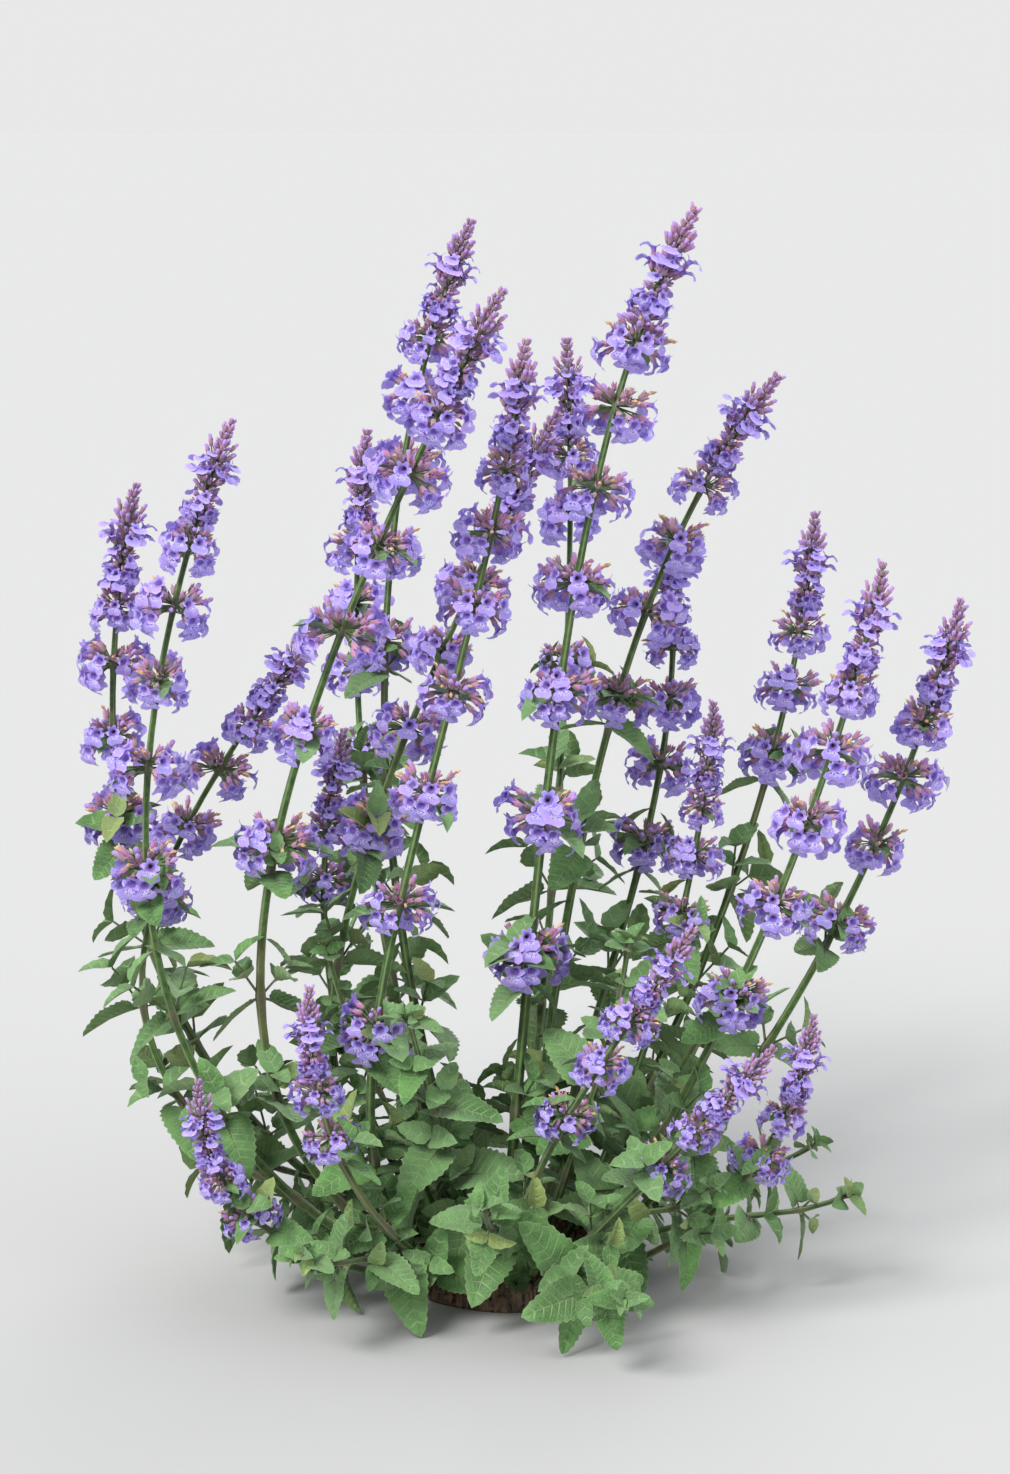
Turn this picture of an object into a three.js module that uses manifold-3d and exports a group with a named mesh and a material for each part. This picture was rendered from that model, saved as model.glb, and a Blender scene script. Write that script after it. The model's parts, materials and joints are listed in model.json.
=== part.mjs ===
// A catmint plant as one free-standing clump: a woody crown, leafy stems that carry spikes of
// flower whorls, and low leafy shoots. Millimetres, +Z up, the origin at the centre of the
// crown's flat underside, the clump's showiest side towards -Y.
import * as THREE from "three";
import { mergeVertices } from "three/addons/utils/BufferGeometryUtils.js";
import Module from "manifold-3d";

const wasm = await Module();
wasm.setup();

// ---- driving dimensions ----
const CROWN = [[0, 0], [62, 0], [65, 7], [56, 19], [28, 26], [0, 28]]; // [radius, height] of its skin
const CROWN_SIDES = 12;
// How its bark swells and sinks: [waves round the crown, share of the radius, where they start].
const CROWN_LUMPS = [[3, 0.06, 0.7], [5, 0.036, 2]];
const ROOT_HEIGHT = 9; // where a stem's lower end sits inside the crown
const COLLAR = 38; // the straight lowest length of a stem, which passes out of the crown
const GAP = 0.4; // clearance between a stem and its hole, and between a stem and its spike

const STEM_WIDTH = 5.4; // across the flats of the square stem, at the crown
const TOP_WIDTH = 2.6; // the same, at the spike's tip
const SHOOT_WIDTH = 3.8;
const PATH_SAMPLES = 60;
const JOINT_HALF = 2.4; // half the height of the swollen joint that a pair of leaves grows from

const LEAF_LENGTH = 50;
const LEAF_WIDTH = 0.66; // share of its length
const LEAF_THICKNESS = 1.5; // at the midrib, from where it thins to the edge
const LEAF_ARCH = 0.26; // how far the tip bends down, as a share of the length
const LEAF_FOLD = 0.16; // rise of the blade to each side of the midrib
const LEAF_MIDDLE = 0.42; // where both faces come together at the midrib, as a share of the length
// One side of the scalloped edge, from the petiole to the tip: [share of length, share of width].
const LEAF_EDGE = [[0.13, 0.1], [0.22, 0.47], [0.42, 0.42], [0.52, 0.48], [0.74, 0.27]];
const LEAF_BACK = 0.5; // how much its upper face looks back at the stem, beside along the stem
const LEAF_SKYWARD = 1.2; // the same, for how much it looks at the sky
const LEAF_LEVEL = 0.5; // how much it keeps square to the stem
const LEAF_LOWEST = COLLAR + 8; // the distance from the root that the lowest pair stays above
const STEM_SPACING = 70; // between two pairs of leaves along a flowering stem
const SHOOT_SPACING = 30;
const STEM_LEAVES = [0.66, 0.12]; // size of the highest pair, and how much each lower pair gains
const SHOOT_LEAVES = [0.45, 0.2];
const SHOOT_LEAF_SIZE = 0.95;
const STEM_LEAF_GAIN = 0.1; // how much larger a small stem's leaves are than its flowers
const LEAF_UNDER_FLOWERS = 6; // from the highest pair up to the stem's end
const LEAF_UNDER_TIP = 5;

const WHORL_AT = [76, 112, 156, 208, 268, 336, 412]; // distance of each whorl from the spike's tip
const WHORL_SPREAD = 9.5; // half-length of a whorl's core, along its two flower clusters
const WHORL_DEPTH = 6.5;
const WHORL_RISE = 6; // from its middle up and down to the bare stem
const WHORL_REACH = 4.3; // how far a floret's lip stands out, against the core's face
const WHORL_LIP = 9; // radius of an open floret's lip
const WHORL_UPRIGHT = 0.5; // how much a whorl rights itself on a leaning stem
const WHORL_FOOT = 13; // from the lowest whorl down to where the leafy stem ends
const TOP_WHORL = 0.85; // size of the highest whorl, beside the others
const SPIKE_TIERS = [[56, 2.6], [45, 4.6], [29, 4.4], [13, 3.2]]; // [distance from the tip, radius]
const SPIKE_REACH = 3;
const SPIKE_LIP = 6.5;
const BUD_SHARE = 0.82; // of the florets in a whorl's upper half, those that are closed
const BUD_REACH = 0.8; // of a closed bud's tip, as a share of an open floret's reach

const CLEAR = 0.9; // least air between two nodes' leaves and flowers
const OWN_CLEAR = 0.4; // the same, within one node
const FLOOR_CLEAR = 1.2; // the lowest that a leaf hangs
const WELD = 1e-3; // two corners nearer than this are one
// What a whorl or a leaf may move by to stand clear, in the order tried: degrees, and for SLIDES mm.
const SPINS = [0, 30, -30, 60, -60, 90];
const SLIDES = [0, 7, -7];
const TURNS = [0, 18, -18, 34, -34];
const LIFTS = [0, 16, -16];

// What the seeded draws fall between, in degrees or as a share of a size.
const STEM_SEEDS = [41, 97]; // seed of the first stem, and the step to each next one
const SHOOT_SEEDS = [46, 31];
const ANY_SHARE = [0, 1];
const SPIN = [-20, 20];
const FLOWER_SHARE = [0.9, 1.1];
const SPIKE_SHARE = [0.93, 1.07];
const LEAF_SHARE = [0.88, 1.1];
const LEAF_TURN = [-14, 14];
const LEAF_ROLL = [-36, 36];
const STEM_LIFT = [-30, 18];
const SHOOT_LIFT = [-5, 28];

// Each flowering stem: where it leaves the crown [x, y], two points that pull its curve, its
// tip, its number of whorls below the terminal spike, and the size of its flowers.
const FLOWERING = {
  main_1: [[-2, -8], [20, -30, 250], [30, -30, 520], [111, -10, 651], 7, 1.1],
  main_2: [[-30, -22], [-150, -90, 90], [-20, -60, 330], [12, -25, 576], 7, 1],
  main_3: [[-28, 6], [-190, -10, 110], [-60, 20, 340], [30, 20, 530], 5, 1],
  main_4: [[-44, -6], [-240, -50, 120], [-110, -60, 400], [-2, -100, 609], 6, 1.05],
  main_5: [[12, 6], [30, 60, 200], [60, 70, 420], [165, 60, 549], 4, 1.05],
  main_6: [[-14, 24], [-90, 110, 200], [-100, 130, 450], [-21, 120, 640], 5, 1],
  main_7: [[-50, -22], [-270, -60, 120], [-220, -60, 370], [-159, -40, 531], 5, 1],
  main_8: [[-48, 22], [-260, 90, 100], [-260, 70, 320], [-225, 60, 483], 4, 1],
  main_9: [[40, -18], [110, -70, 120], [190, -60, 300], [221, -40, 447], 5, 1],
  main_10: [[50, 4], [150, 10, 100], [235, 10, 260], [272, 0, 420], 4, 1],
  main_11: [[20, 28], [50, 110, 150], [125, 110, 290], [100, 100, 450], 4, 0.95],
  main_12: [[-52, 4], [-330, 20, 120], [-200, -10, 280], [-114, 0, 402], 4, 0.9],
  back_1: [[-24, 44], [-90, 190, 150], [-110, 220, 330], [-90, 230, 500], 4, 1],
  back_2: [[8, 48], [30, 200, 170], [50, 230, 380], [40, 225, 560], 4, 1],
  back_3: [[34, 38], [130, 160, 130], [190, 190, 300], [200, 190, 450], 3, 1],
  low_1: [[6, -28], [0, -110, 90], [50, -120, 160], [108, -110, 245], 3, 0.85],
  low_2: [[26, -36], [50, -130, 70], [95, -150, 120], [152, -150, 185], 2, 0.85],
  low_3: [[-14, -42], [-70, -120, 50], [-115, -140, 120], [-112, -130, 215], 2, 0.8],
  low_4: [[-32, 22], [-120, 70, 110], [-125, 75, 220], [-100, 70, 330], 2, 0.85],
  low_5: [[34, 12], [90, 50, 120], [120, 55, 230], [128, 50, 350], 3, 0.85],
  low_6: [[44, -34], [130, -110, 60], [165, -120, 120], [178, -115, 195], 2, 0.8],
  low_7: [[-44, -38], [-150, -110, 50], [-175, -115, 90], [-178, -110, 155], 2, 0.8],
};
// Each leafy shoot lies in one upright plane: its bearing from +X in degrees, the radius where
// it leaves the crown, then [radius, height] of two points that pull its curve and of its tip.
const SHOOTS = [
  [24, 53, [108, 54], [172, 36], [215, 60]],
  [64, 53, [90, 76], [144, 51], [180, 85]],
  [100, 53, [108, 54], [172, 36], [215, 60]],
  [166, 53, [100, 72], [160, 48], [200, 80]],
  [236, 53, [102, 63], [164, 42], [205, 70]],
  [266, 53, [80, 85], [128, 57], [160, 95]],
  [288, 53, [108, 50], [172, 33], [215, 55]],
  [314, 53, [85, 85], [136, 57], [170, 95]],
  [350, 53, [105, 58], [168, 39], [210, 65]],
  [195, 31, [50, 80], [95, 140], [110, 215]],
  [240, 28, [45, 70], [85, 120], [112, 190]],
  [324, 27, [40, 80], [80, 140], [90, 225]],
  [356, 30, [55, 70], [105, 115], [128, 180]],
];

// ---- seeded draws ----
function drawer([first, step], index) {
  let state = first + step * index;
  return ([low, high]) => {
    state = (Math.imul(state, 1664525) + 1013904223) >>> 0;
    return low + ((high - low) * state) / 4294967296;
  };
}

// ---- curves with a frame that doesn't twist ----
function pathOf(root, low, high, tip) {
  const curve = new THREE.CubicBezierCurve3(root, low, high, tip);
  const points = curve.getPoints(PATH_SAMPLES);
  const tangents = points.map((_, i) => {
    const before = points[Math.max(i - 1, 0)];
    const after = points[Math.min(i + 1, PATH_SAMPLES)];
    return after.clone().sub(before).normalize();
  });
  const bearing = Math.atan2(tangents[0].y, tangents[0].x);
  const sides = [new THREE.Vector3(-Math.sin(bearing), Math.cos(bearing), 0)];
  const lengths = [0];
  for (let i = 1; i <= PATH_SAMPLES; i++) {
    const side = sides[i - 1].clone();
    sides.push(side.addScaledVector(tangents[i], -side.dot(tangents[i])).normalize());
    lengths.push(lengths[i - 1] + points[i].distanceTo(points[i - 1]));
  }
  return { points, tangents, sides, lengths, length: lengths[PATH_SAMPLES] };
}

// The point, tangent, side and up at a distance along a path from its root.
function along(path, distance) {
  const wanted = Math.min(Math.max(distance, 0), path.length);
  let i = 0;
  while (i < PATH_SAMPLES - 1 && path.lengths[i + 1] < wanted) i++;
  const share = (wanted - path.lengths[i]) / (path.lengths[i + 1] - path.lengths[i]);
  const between = (list) => list[i].clone().lerp(list[i + 1], share);
  const tangent = between(path.tangents).normalize();
  const side = between(path.sides);
  side.addScaledVector(tangent, -side.dot(tangent)).normalize();
  const up = tangent.clone().cross(side);
  return { point: between(path.points), tangent, side, up };
}

// The direction out of a stem at an angle round it.
function outward(frame, degrees) {
  const angle = THREE.MathUtils.degToRad(degrees);
  const out = frame.side.clone().multiplyScalar(Math.cos(angle));
  return out.addScaledVector(frame.up, Math.sin(angle));
}

// ---- a closed skin over rings of four corners ----
// The bands between two rings run round the stem: band side 0 faces the frame's up, side 1 its
// far side, side 2 its down and side 3 its near side.
const SQUARE = [[1, 1], [-1, 1], [-1, -1], [1, -1]];
function squareRing(frame, half) {
  return SQUARE.map(([s, u]) => {
    const corner = frame.point.clone().addScaledVector(frame.side, s * half);
    return corner.addScaledVector(frame.up, u * half);
  });
}

// A skin being made. close() gives it back as a solid.
function newSkin() {
  const points = [];
  const triangles = [];
  const add = (spots) => spots.map((spot) => points.push(spot) - 1);
  const close = () => {
    const vertProperties = new Float32Array(points.flatMap((p) => [p.x, p.y, p.z]));
    const triVerts = new Uint32Array(triangles.flat());
    return new wasm.Manifold(new wasm.Mesh({ numProp: 3, vertProperties, triVerts }));
  };
  return { points, triangles, add, close };
}

// Raises a flared, flat-lipped floret or a pointed bud from a triangle. It stays in the cone
// that the triangle makes with the centre, so two florets of one centre never touch.
function raiseFloret(skin, face, centre, { reach, lip, isBud }) {
  const corners = face.map((i) => skin.points[i]);
  const middle = corners[0].clone().add(corners[1]).add(corners[2]).divideScalar(3);
  const mouth = middle.clone().sub(centre).multiplyScalar(isBud ? reach * BUD_REACH : reach).add(centre);
  if (isBud) {
    const [tip] = skin.add([mouth]);
    for (let k = 0; k < 3; k++) skin.triangles.push([face[k], face[(k + 1) % 3], tip]);
    return;
  }
  const rim = skin.add(corners.map((corner) => corner.clone().sub(middle).setLength(lip).add(mouth)));
  skin.triangles.push(rim);
  for (let k = 0; k < 3; k++) {
    const next = (k + 1) % 3;
    skin.triangles.push([face[k], face[next], rim[next]], [face[k], rim[next], rim[k]]);
  }
}

// Puts a blade on the four corners of one band side, which it replaces.
function putBlade(skin, [a, b, c, d], blade) {
  const edge = skin.add(blade.edge);
  const [top, under] = skin.add([blade.top, blade.under]);
  const first = edge[0];
  const last = edge[edge.length - 1];
  skin.triangles.push([top, last, c], [top, c, d], [top, d, first]);
  skin.triangles.push([under, b, last], [under, a, b], [under, first, a]);
  skin.triangles.push([a, first, d], [b, c, last]);
  for (let i = 0; i < edge.length - 1; i++) {
    skin.triangles.push([top, edge[i], edge[i + 1]], [under, edge[i + 1], edge[i]]);
  }
}

// Covers the band between two rings. What grows on it is a blade by band side, or florets on
// the triangles that stand on the lower ring or hang from the upper one.
function coverBand(skin, low, high, { turned = false, blades = {}, standing, hanging, centre } = {}) {
  for (let k = 0; k < 4; k++) {
    const next = (k + 1) % 4;
    if (blades[k]) {
      putBlade(skin, [low[k], low[next], high[next], high[k]], blades[k]);
      continue;
    }
    const stands = [low[k], low[next], turned ? high[k] : high[next]];
    const hangs = [high[next], high[k], turned ? low[next] : low[k]];
    if (standing) raiseFloret(skin, stands, centre, standing[k]);
    else skin.triangles.push(stands);
    if (hanging) raiseFloret(skin, hangs, centre, hanging[k]);
    else skin.triangles.push(hangs);
  }
}

// A closed solid from a list of { ring, band }, where the band lies below the ring.
function solidOf(levels) {
  const skin = newSkin();
  const rings = levels.map(({ ring }) => skin.add(ring));
  const [foot, head] = [rings[0], rings[rings.length - 1]];
  skin.triangles.push([foot[0], foot[3], foot[2]], [foot[0], foot[2], foot[1]]);
  for (let i = 1; i < rings.length; i++) {
    if (rings[i].length === 4) coverBand(skin, rings[i - 1], rings[i], levels[i].band);
  }
  if (head.length === 4) {
    skin.triangles.push([head[0], head[1], head[2]], [head[0], head[2], head[3]]);
  } else {
    const last = rings[rings.length - 2];
    for (let k = 0; k < 4; k++) skin.triangles.push([last[k], last[(k + 1) % 4], head[0]]);
  }
  return skin.close();
}

// ---- leaves ----
// A blade with a scalloped edge. It grows out of one band side, turned a little round the stem,
// rises from it by a lift in degrees, shows its upper face to the sky but for a roll round its
// midrib, and bends down at its tip.
function bladeOf(frame, { face, turn, lift, roll, length }) {
  const rise = THREE.MathUtils.degToRad(lift);
  const out = outward(frame, 90 * (face + 1) + turn);
  const axis = out.clone().multiplyScalar(Math.cos(rise));
  axis.addScaledVector(frame.tangent, Math.sin(rise)).normalize();
  const sky = frame.tangent.clone().addScaledVector(out, -LEAF_BACK);
  sky.z += LEAF_SKYWARD;
  const level = out.clone().cross(frame.tangent).normalize();
  const across = axis.clone().cross(sky).normalize().addScaledVector(level, LEAF_LEVEL);
  across.addScaledVector(axis, -across.dot(axis)).normalize();
  across.applyAxisAngle(axis, THREE.MathUtils.degToRad(roll));
  const width = LEAF_WIDTH * length;
  const spot = (x, y, z = 0, side = across) => {
    const height = LEAF_FOLD * Math.abs(x) * width - LEAF_ARCH * y * y * length + z;
    const placed = frame.point.clone().addScaledVector(side, x * width);
    return placed.addScaledVector(axis, y * length).addScaledVector(side.clone().cross(axis), height);
  };
  const [[neckY, neckX], ...blade] = LEAF_EDGE;
  const right = [spot(neckX, neckY, 0, level), ...blade.map(([y, x]) => spot(x, y))];
  const left = [spot(-neckX, neckY, 0, level), ...blade.map(([y, x]) => spot(-x, y))].reverse();
  return {
    edge: [...right, spot(0, 1), ...left],
    top: spot(0, LEAF_MIDDLE, LEAF_THICKNESS / 2),
    under: spot(0, LEAF_MIDDLE, -LEAF_THICKNESS / 2),
  };
}

// The two rings of a joint, with the blades that grow between them.
function jointLevels(path, distance, widthAt, blades) {
  return [-JOINT_HALF, JOINT_HALF].map((step, i) => {
    const ring = squareRing(along(path, distance + step), widthAt(distance + step) / 2);
    return { ring, band: i ? { blades } : {} };
  });
}

// One leaf as a solid of its own, for trying where it fits.
function leafSolid(path, widthAt, leaf) {
  const blade = bladeOf(along(path, leaf.distance), leaf);
  const [low, high] = jointLevels(path, leaf.distance, widthAt, {}).map(({ ring }) => ring);
  const next = (leaf.face + 1) % 4;
  const skin = newSkin();
  const [a, b, c, d] = skin.add([low[leaf.face], low[next], high[next], high[leaf.face]]);
  putBlade(skin, [a, b, c, d], blade);
  skin.triangles.push([a, c, b], [a, d, c]);
  return skin.close();
}

// ---- flowers ----
// A whorl's three rings: two flower clusters that face each other across the stem make one
// core, which is long from cluster to cluster, and a floret stands on each of its eight faces.
function whorlLevels(path, widthAt, { distance, spin, size, florets }) {
  const frame = along(path, distance);
  const rise = frame.tangent.clone();
  rise.z += WHORL_UPRIGHT;
  rise.normalize();
  const step = Math.round(spin / 90);
  const spread = outward(frame, spin - 90 * step);
  spread.addScaledVector(rise, -spread.dot(rise)).normalize();
  const depth = rise.clone().cross(spread);
  const middle = [0, 1, 2, 3].map((k) => {
    const isLong = (k + step) % 2 === 0;
    const reach = (k < 2 ? 1 : -1) * size * (isLong ? WHORL_SPREAD : WHORL_DEPTH);
    return frame.point.clone().addScaledVector(k % 2 ? depth : spread, reach);
  });
  const bareRing = (height) => {
    const at = distance + height * size;
    return squareRing(along(path, at), widthAt(at) / 2);
  };
  return [
    { ring: bareRing(-WHORL_RISE), band: {} },
    { ring: middle, band: { hanging: florets.slice(0, 4), centre: frame.point } },
    { ring: bareRing(WHORL_RISE), band: { turned: true, standing: florets.slice(4), centre: frame.point } },
  ];
}

// The terminal spike: tiers of florets round the stem's end, which close to a bud tip.
function spikeLevels(path, size, turn, florets) {
  const frames = SPIKE_TIERS.map(([distance]) => along(path, path.length - distance * size));
  const levels = SPIKE_TIERS.map(([, radius], i) => {
    const ring = [0, 1, 2, 3].map((k) => {
      const out = outward(frames[i], turn + 90 * k + (i % 2 ? 0 : 45));
      return frames[i].point.clone().addScaledVector(out, radius * size);
    });
    return { ring };
  });
  levels[0].band = {};
  levels[1].band = { hanging: florets.slice(0, 4), centre: frames[1].point };
  levels[2].band = { turned: true, standing: florets.slice(4, 8), centre: frames[1].point };
  levels[3].band = { standing: florets.slice(8), centre: frames[2].point };
  return [...levels, { ring: [along(path, path.length).point] }];
}

// ---- how each stem is planned: every draw is made before any leaf or whorl is tried ----
// The width of a stem at a distance along its path.
const taper = (path, foot) => (distance) => foot + ((TOP_WIDTH - foot) * distance) / path.length;
const list = (count, make) => Array.from({ length: count }, (_, i) => make(i));

function planWhorls(path, size, count, draw) {
  return list(count, (i) => {
    const grown = size * draw(FLOWER_SHARE) * (i === 0 ? TOP_WHORL : 1);
    return {
      distance: path.length - WHORL_AT[i] * size,
      spin: 90 * (i % 2) + draw(SPIN),
      size: grown,
      florets: list(8, (k) => ({
        reach: WHORL_REACH * draw(FLOWER_SHARE),
        lip: WHORL_LIP * grown,
        isBud: draw(ANY_SHARE) < BUD_SHARE && k > 3,
      })),
    };
  });
}

// Pairs of leaves from the highest one down, each pair a quarter turn round from the last.
function planLeaves(draw, top, size, { spacing, growth: [least, gain], lift }) {
  const leaves = [];
  let distance = top;
  for (let pair = 0; distance > LEAF_LOWEST; pair++) {
    const grown = size * Math.min(1, least + gain * pair);
    for (const half of [0, 2]) {
      leaves.push({
        distance,
        face: (3 + (pair % 2) + half) % 4,
        turn: draw(LEAF_TURN),
        lift: draw(lift),
        roll: draw(LEAF_ROLL),
        length: LEAF_LENGTH * grown * draw(LEAF_SHARE),
      });
    }
    distance -= spacing * draw(LEAF_SHARE);
  }
  return leaves;
}

const growths = [];
Object.entries(FLOWERING).forEach(([name, [[x, y], low, high, tip, count, size]], index) => {
  const draw = drawer(STEM_SEEDS, index);
  const path = pathOf(...[[x, y, ROOT_HEIGHT], low, high, tip].map((spot) => new THREE.Vector3(...spot)));
  const turn = draw(SPIN);
  const lip = SPIKE_LIP * size;
  const florets = list(12, (k) => ({ reach: SPIKE_REACH * draw(SPIKE_SHARE), lip, isBud: k > 7 }));
  const whorls = planWhorls(path, size, count, draw);
  const end = whorls[count - 1].distance - WHORL_FOOT * size;
  const habit = { spacing: STEM_SPACING * size, growth: STEM_LEAVES, lift: STEM_LIFT };
  const leaves = planLeaves(draw, end - LEAF_UNDER_FLOWERS, Math.min(1, size + STEM_LEAF_GAIN), habit);
  growths.push({ name, path, size, foot: STEM_WIDTH * size, end, turn, florets, whorls, leaves });
});
SHOOTS.forEach(([bearing, rootRadius, low, high, tip], index) => {
  const draw = drawer(SHOOT_SEEDS, index);
  const angle = THREE.MathUtils.degToRad(bearing);
  const at = ([radius, z]) => new THREE.Vector3(radius * Math.cos(angle), radius * Math.sin(angle), z);
  const path = pathOf(...[[rootRadius, ROOT_HEIGHT], low, high, tip].map(at));
  const habit = { spacing: SHOOT_SPACING, growth: SHOOT_LEAVES, lift: SHOOT_LIFT };
  const leaves = planLeaves(draw, path.length - LEAF_UNDER_TIP, SHOOT_LEAF_SIZE, habit);
  growths.push({ name: `shoot_${index + 1}`, path, foot: SHOOT_WIDTH, end: path.length, leaves });
});

// ---- growing them in passes, so that nothing runs through another node ----
const placed = [];
const near = (a, b, air) =>
  [0, 1, 2].every((k) => a.min[k] - air < b.max[k] && b.min[k] - air < a.max[k]);
function isClear(candidate, node) {
  const box = candidate.boundingBox();
  if (box.min[2] < FLOOR_CLEAR) return false;
  return placed.every((other) => {
    const air = other.node === node ? OWN_CLEAR : CLEAR;
    if (other.node === node && other.isStem) return true;
    return !near(box, other.box, air) || candidate.minGap(other.solid, air) >= air;
  });
}
function put(node, solid, isStem = false) {
  placed.push({ node, solid, isStem, box: solid.boundingBox() });
}
// The first of several versions whose solid stands clear of all that is placed, or undefined.
function firstClear(node, versions, solidFor) {
  return versions.find((version) => {
    const solid = solidFor(version);
    if (!isClear(solid, node)) return false;
    put(node, solid);
    return true;
  });
}

function stemLevels({ path, end, foot, leaves }) {
  const widthAt = taper(path, foot);
  const square = (distance) => ({ ring: squareRing(along(path, distance), widthAt(distance) / 2) });
  const joints = [...new Set(leaves.map(({ distance }) => distance))].sort((a, b) => a - b);
  const levels = [square(0), square(COLLAR)];
  for (const distance of joints) {
    const here = leaves.filter((leaf) => leaf.distance === distance && leaf.isGrown);
    const frame = along(path, distance);
    const blades = Object.fromEntries(here.map((leaf) => [leaf.face, bladeOf(frame, leaf)]));
    levels.push(...jointLevels(path, distance, widthAt, blades));
  }
  levels.push(square(end));
  return levels;
}

function flowerLevels({ path, end, foot, size, turn, florets, whorls }) {
  const widthAt = taper(path, foot);
  const levels = [{ ring: squareRing(along(path, end + GAP), widthAt(end) / 2) }];
  for (const whorl of [...whorls].reverse()) {
    if (whorl.isGrown) levels.push(...whorlLevels(path, widthAt, whorl));
  }
  return [...levels, ...spikeLevels(path, size, turn, florets)];
}

for (const growth of growths) {
  put(growth.name, solidOf(stemLevels(growth)), true);
  if (growth.whorls) put(`${growth.name}_flowers`, solidOf(flowerLevels(growth)), true);
}

// A whorl may spin or slide a little on its stem to stand clear, and a leaf may turn or lift.
for (const { name, path, foot, whorls } of growths.filter((growth) => growth.whorls)) {
  const widthAt = taper(path, foot);
  for (const whorl of whorls) {
    const versions = SPINS.flatMap((spin) =>
      SLIDES.map((slide) => ({ ...whorl, spin: whorl.spin + spin, distance: whorl.distance + slide })),
    );
    const found = firstClear(`${name}_flowers`, versions, (version) =>
      solidOf(whorlLevels(path, widthAt, version)),
    );
    if (found) Object.assign(whorl, found, { isGrown: true });
  }
}

for (const { name, path, foot, leaves } of growths) {
  const widthAt = taper(path, foot);
  for (const leaf of leaves) {
    const versions = TURNS.flatMap((turn) =>
      LIFTS.map((lift) => ({ ...leaf, turn: leaf.turn + turn, lift: leaf.lift + lift })),
    );
    const found = firstClear(name, versions, (version) => leafSolid(path, widthAt, version));
    if (found) Object.assign(leaf, found, { isGrown: true });
  }
}

// ---- the crown, with a plain hole for each stem and shoot ----
function crown() {
  const profile = CROWN.map(([radius, height]) => new THREE.Vector2(radius, height));
  const geometry = new THREE.LatheGeometry(profile, CROWN_SIDES).rotateX(Math.PI / 2);
  geometry.deleteAttribute("normal");
  geometry.deleteAttribute("uv");
  const merged = mergeVertices(geometry, WELD);
  const position = merged.getAttribute("position");
  const skin = newSkin();
  for (let i = 0; i < position.count; i++) {
    const spot = new THREE.Vector3().fromBufferAttribute(position, i);
    const bearing = Math.atan2(spot.y, spot.x);
    const lumps = CROWN_LUMPS.map(([waves, share, start]) => share * Math.sin(waves * bearing + start));
    const swell = 1 + lumps[0] + lumps[1];
    skin.add([spot.multiply(new THREE.Vector3(swell, swell, 1))]);
  }
  const index = [...merged.index.array];
  for (let i = 0; i < index.length; i += 3) {
    const corners = index.slice(i, i + 3);
    if (new Set(corners).size === 3) skin.triangles.push(corners);
  }
  let body = skin.close();
  for (const { path, foot } of growths) {
    const half = foot / 2 + GAP;
    const hole = [0, COLLAR].map((distance) => along(path, distance));
    hole[0].point.addScaledVector(hole[0].tangent, -GAP);
    body = body.subtract(solidOf(hole.map((frame) => ({ ring: squareRing(frame, half) }))));
  }
  return body;
}

// ---- materials and meshes ----
const BARK = { color: 0x6b5a45, roughness: 0.95, metalness: 0 };
const LEAF_GREEN = { color: 0x5c7f55, roughness: 0.85, metalness: 0 };
const FLOWER_VIOLET = { color: 0x8474d6, roughness: 0.7, metalness: 0 };

function meshOf(name, solid, finish) {
  const data = solid.getMesh();
  const geometry = new THREE.BufferGeometry();
  geometry.setAttribute("position", new THREE.BufferAttribute(data.vertProperties, data.numProp));
  geometry.setIndex(new THREE.BufferAttribute(data.triVerts, 1));
  const mesh = new THREE.Mesh(geometry, new THREE.MeshStandardMaterial(finish));
  mesh.name = name;
  return mesh;
}

const plant = new THREE.Group();
plant.add(meshOf("crown", crown(), BARK));
for (const growth of growths) {
  const { name, whorls } = growth;
  plant.add(meshOf(whorls ? `${name}_stem` : name, solidOf(stemLevels(growth)), LEAF_GREEN));
  if (whorls) plant.add(meshOf(`${name}_flowers`, solidOf(flowerLevels(growth)), FLOWER_VIOLET));
}

export default plant;
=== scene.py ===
"""The looks of a catmint plant, built round its CAD frame. Blender 4.5, +Z up.

The rules for where a stem curves and what grows on it are the solids' own, in millimetres, so
every fine piece stands where its solid is. Meshes are made in millimetres and stored in metres.
"""
import json
import math
from itertools import product

import bpy
import numpy as np
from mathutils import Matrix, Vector, kdtree, noise

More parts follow.
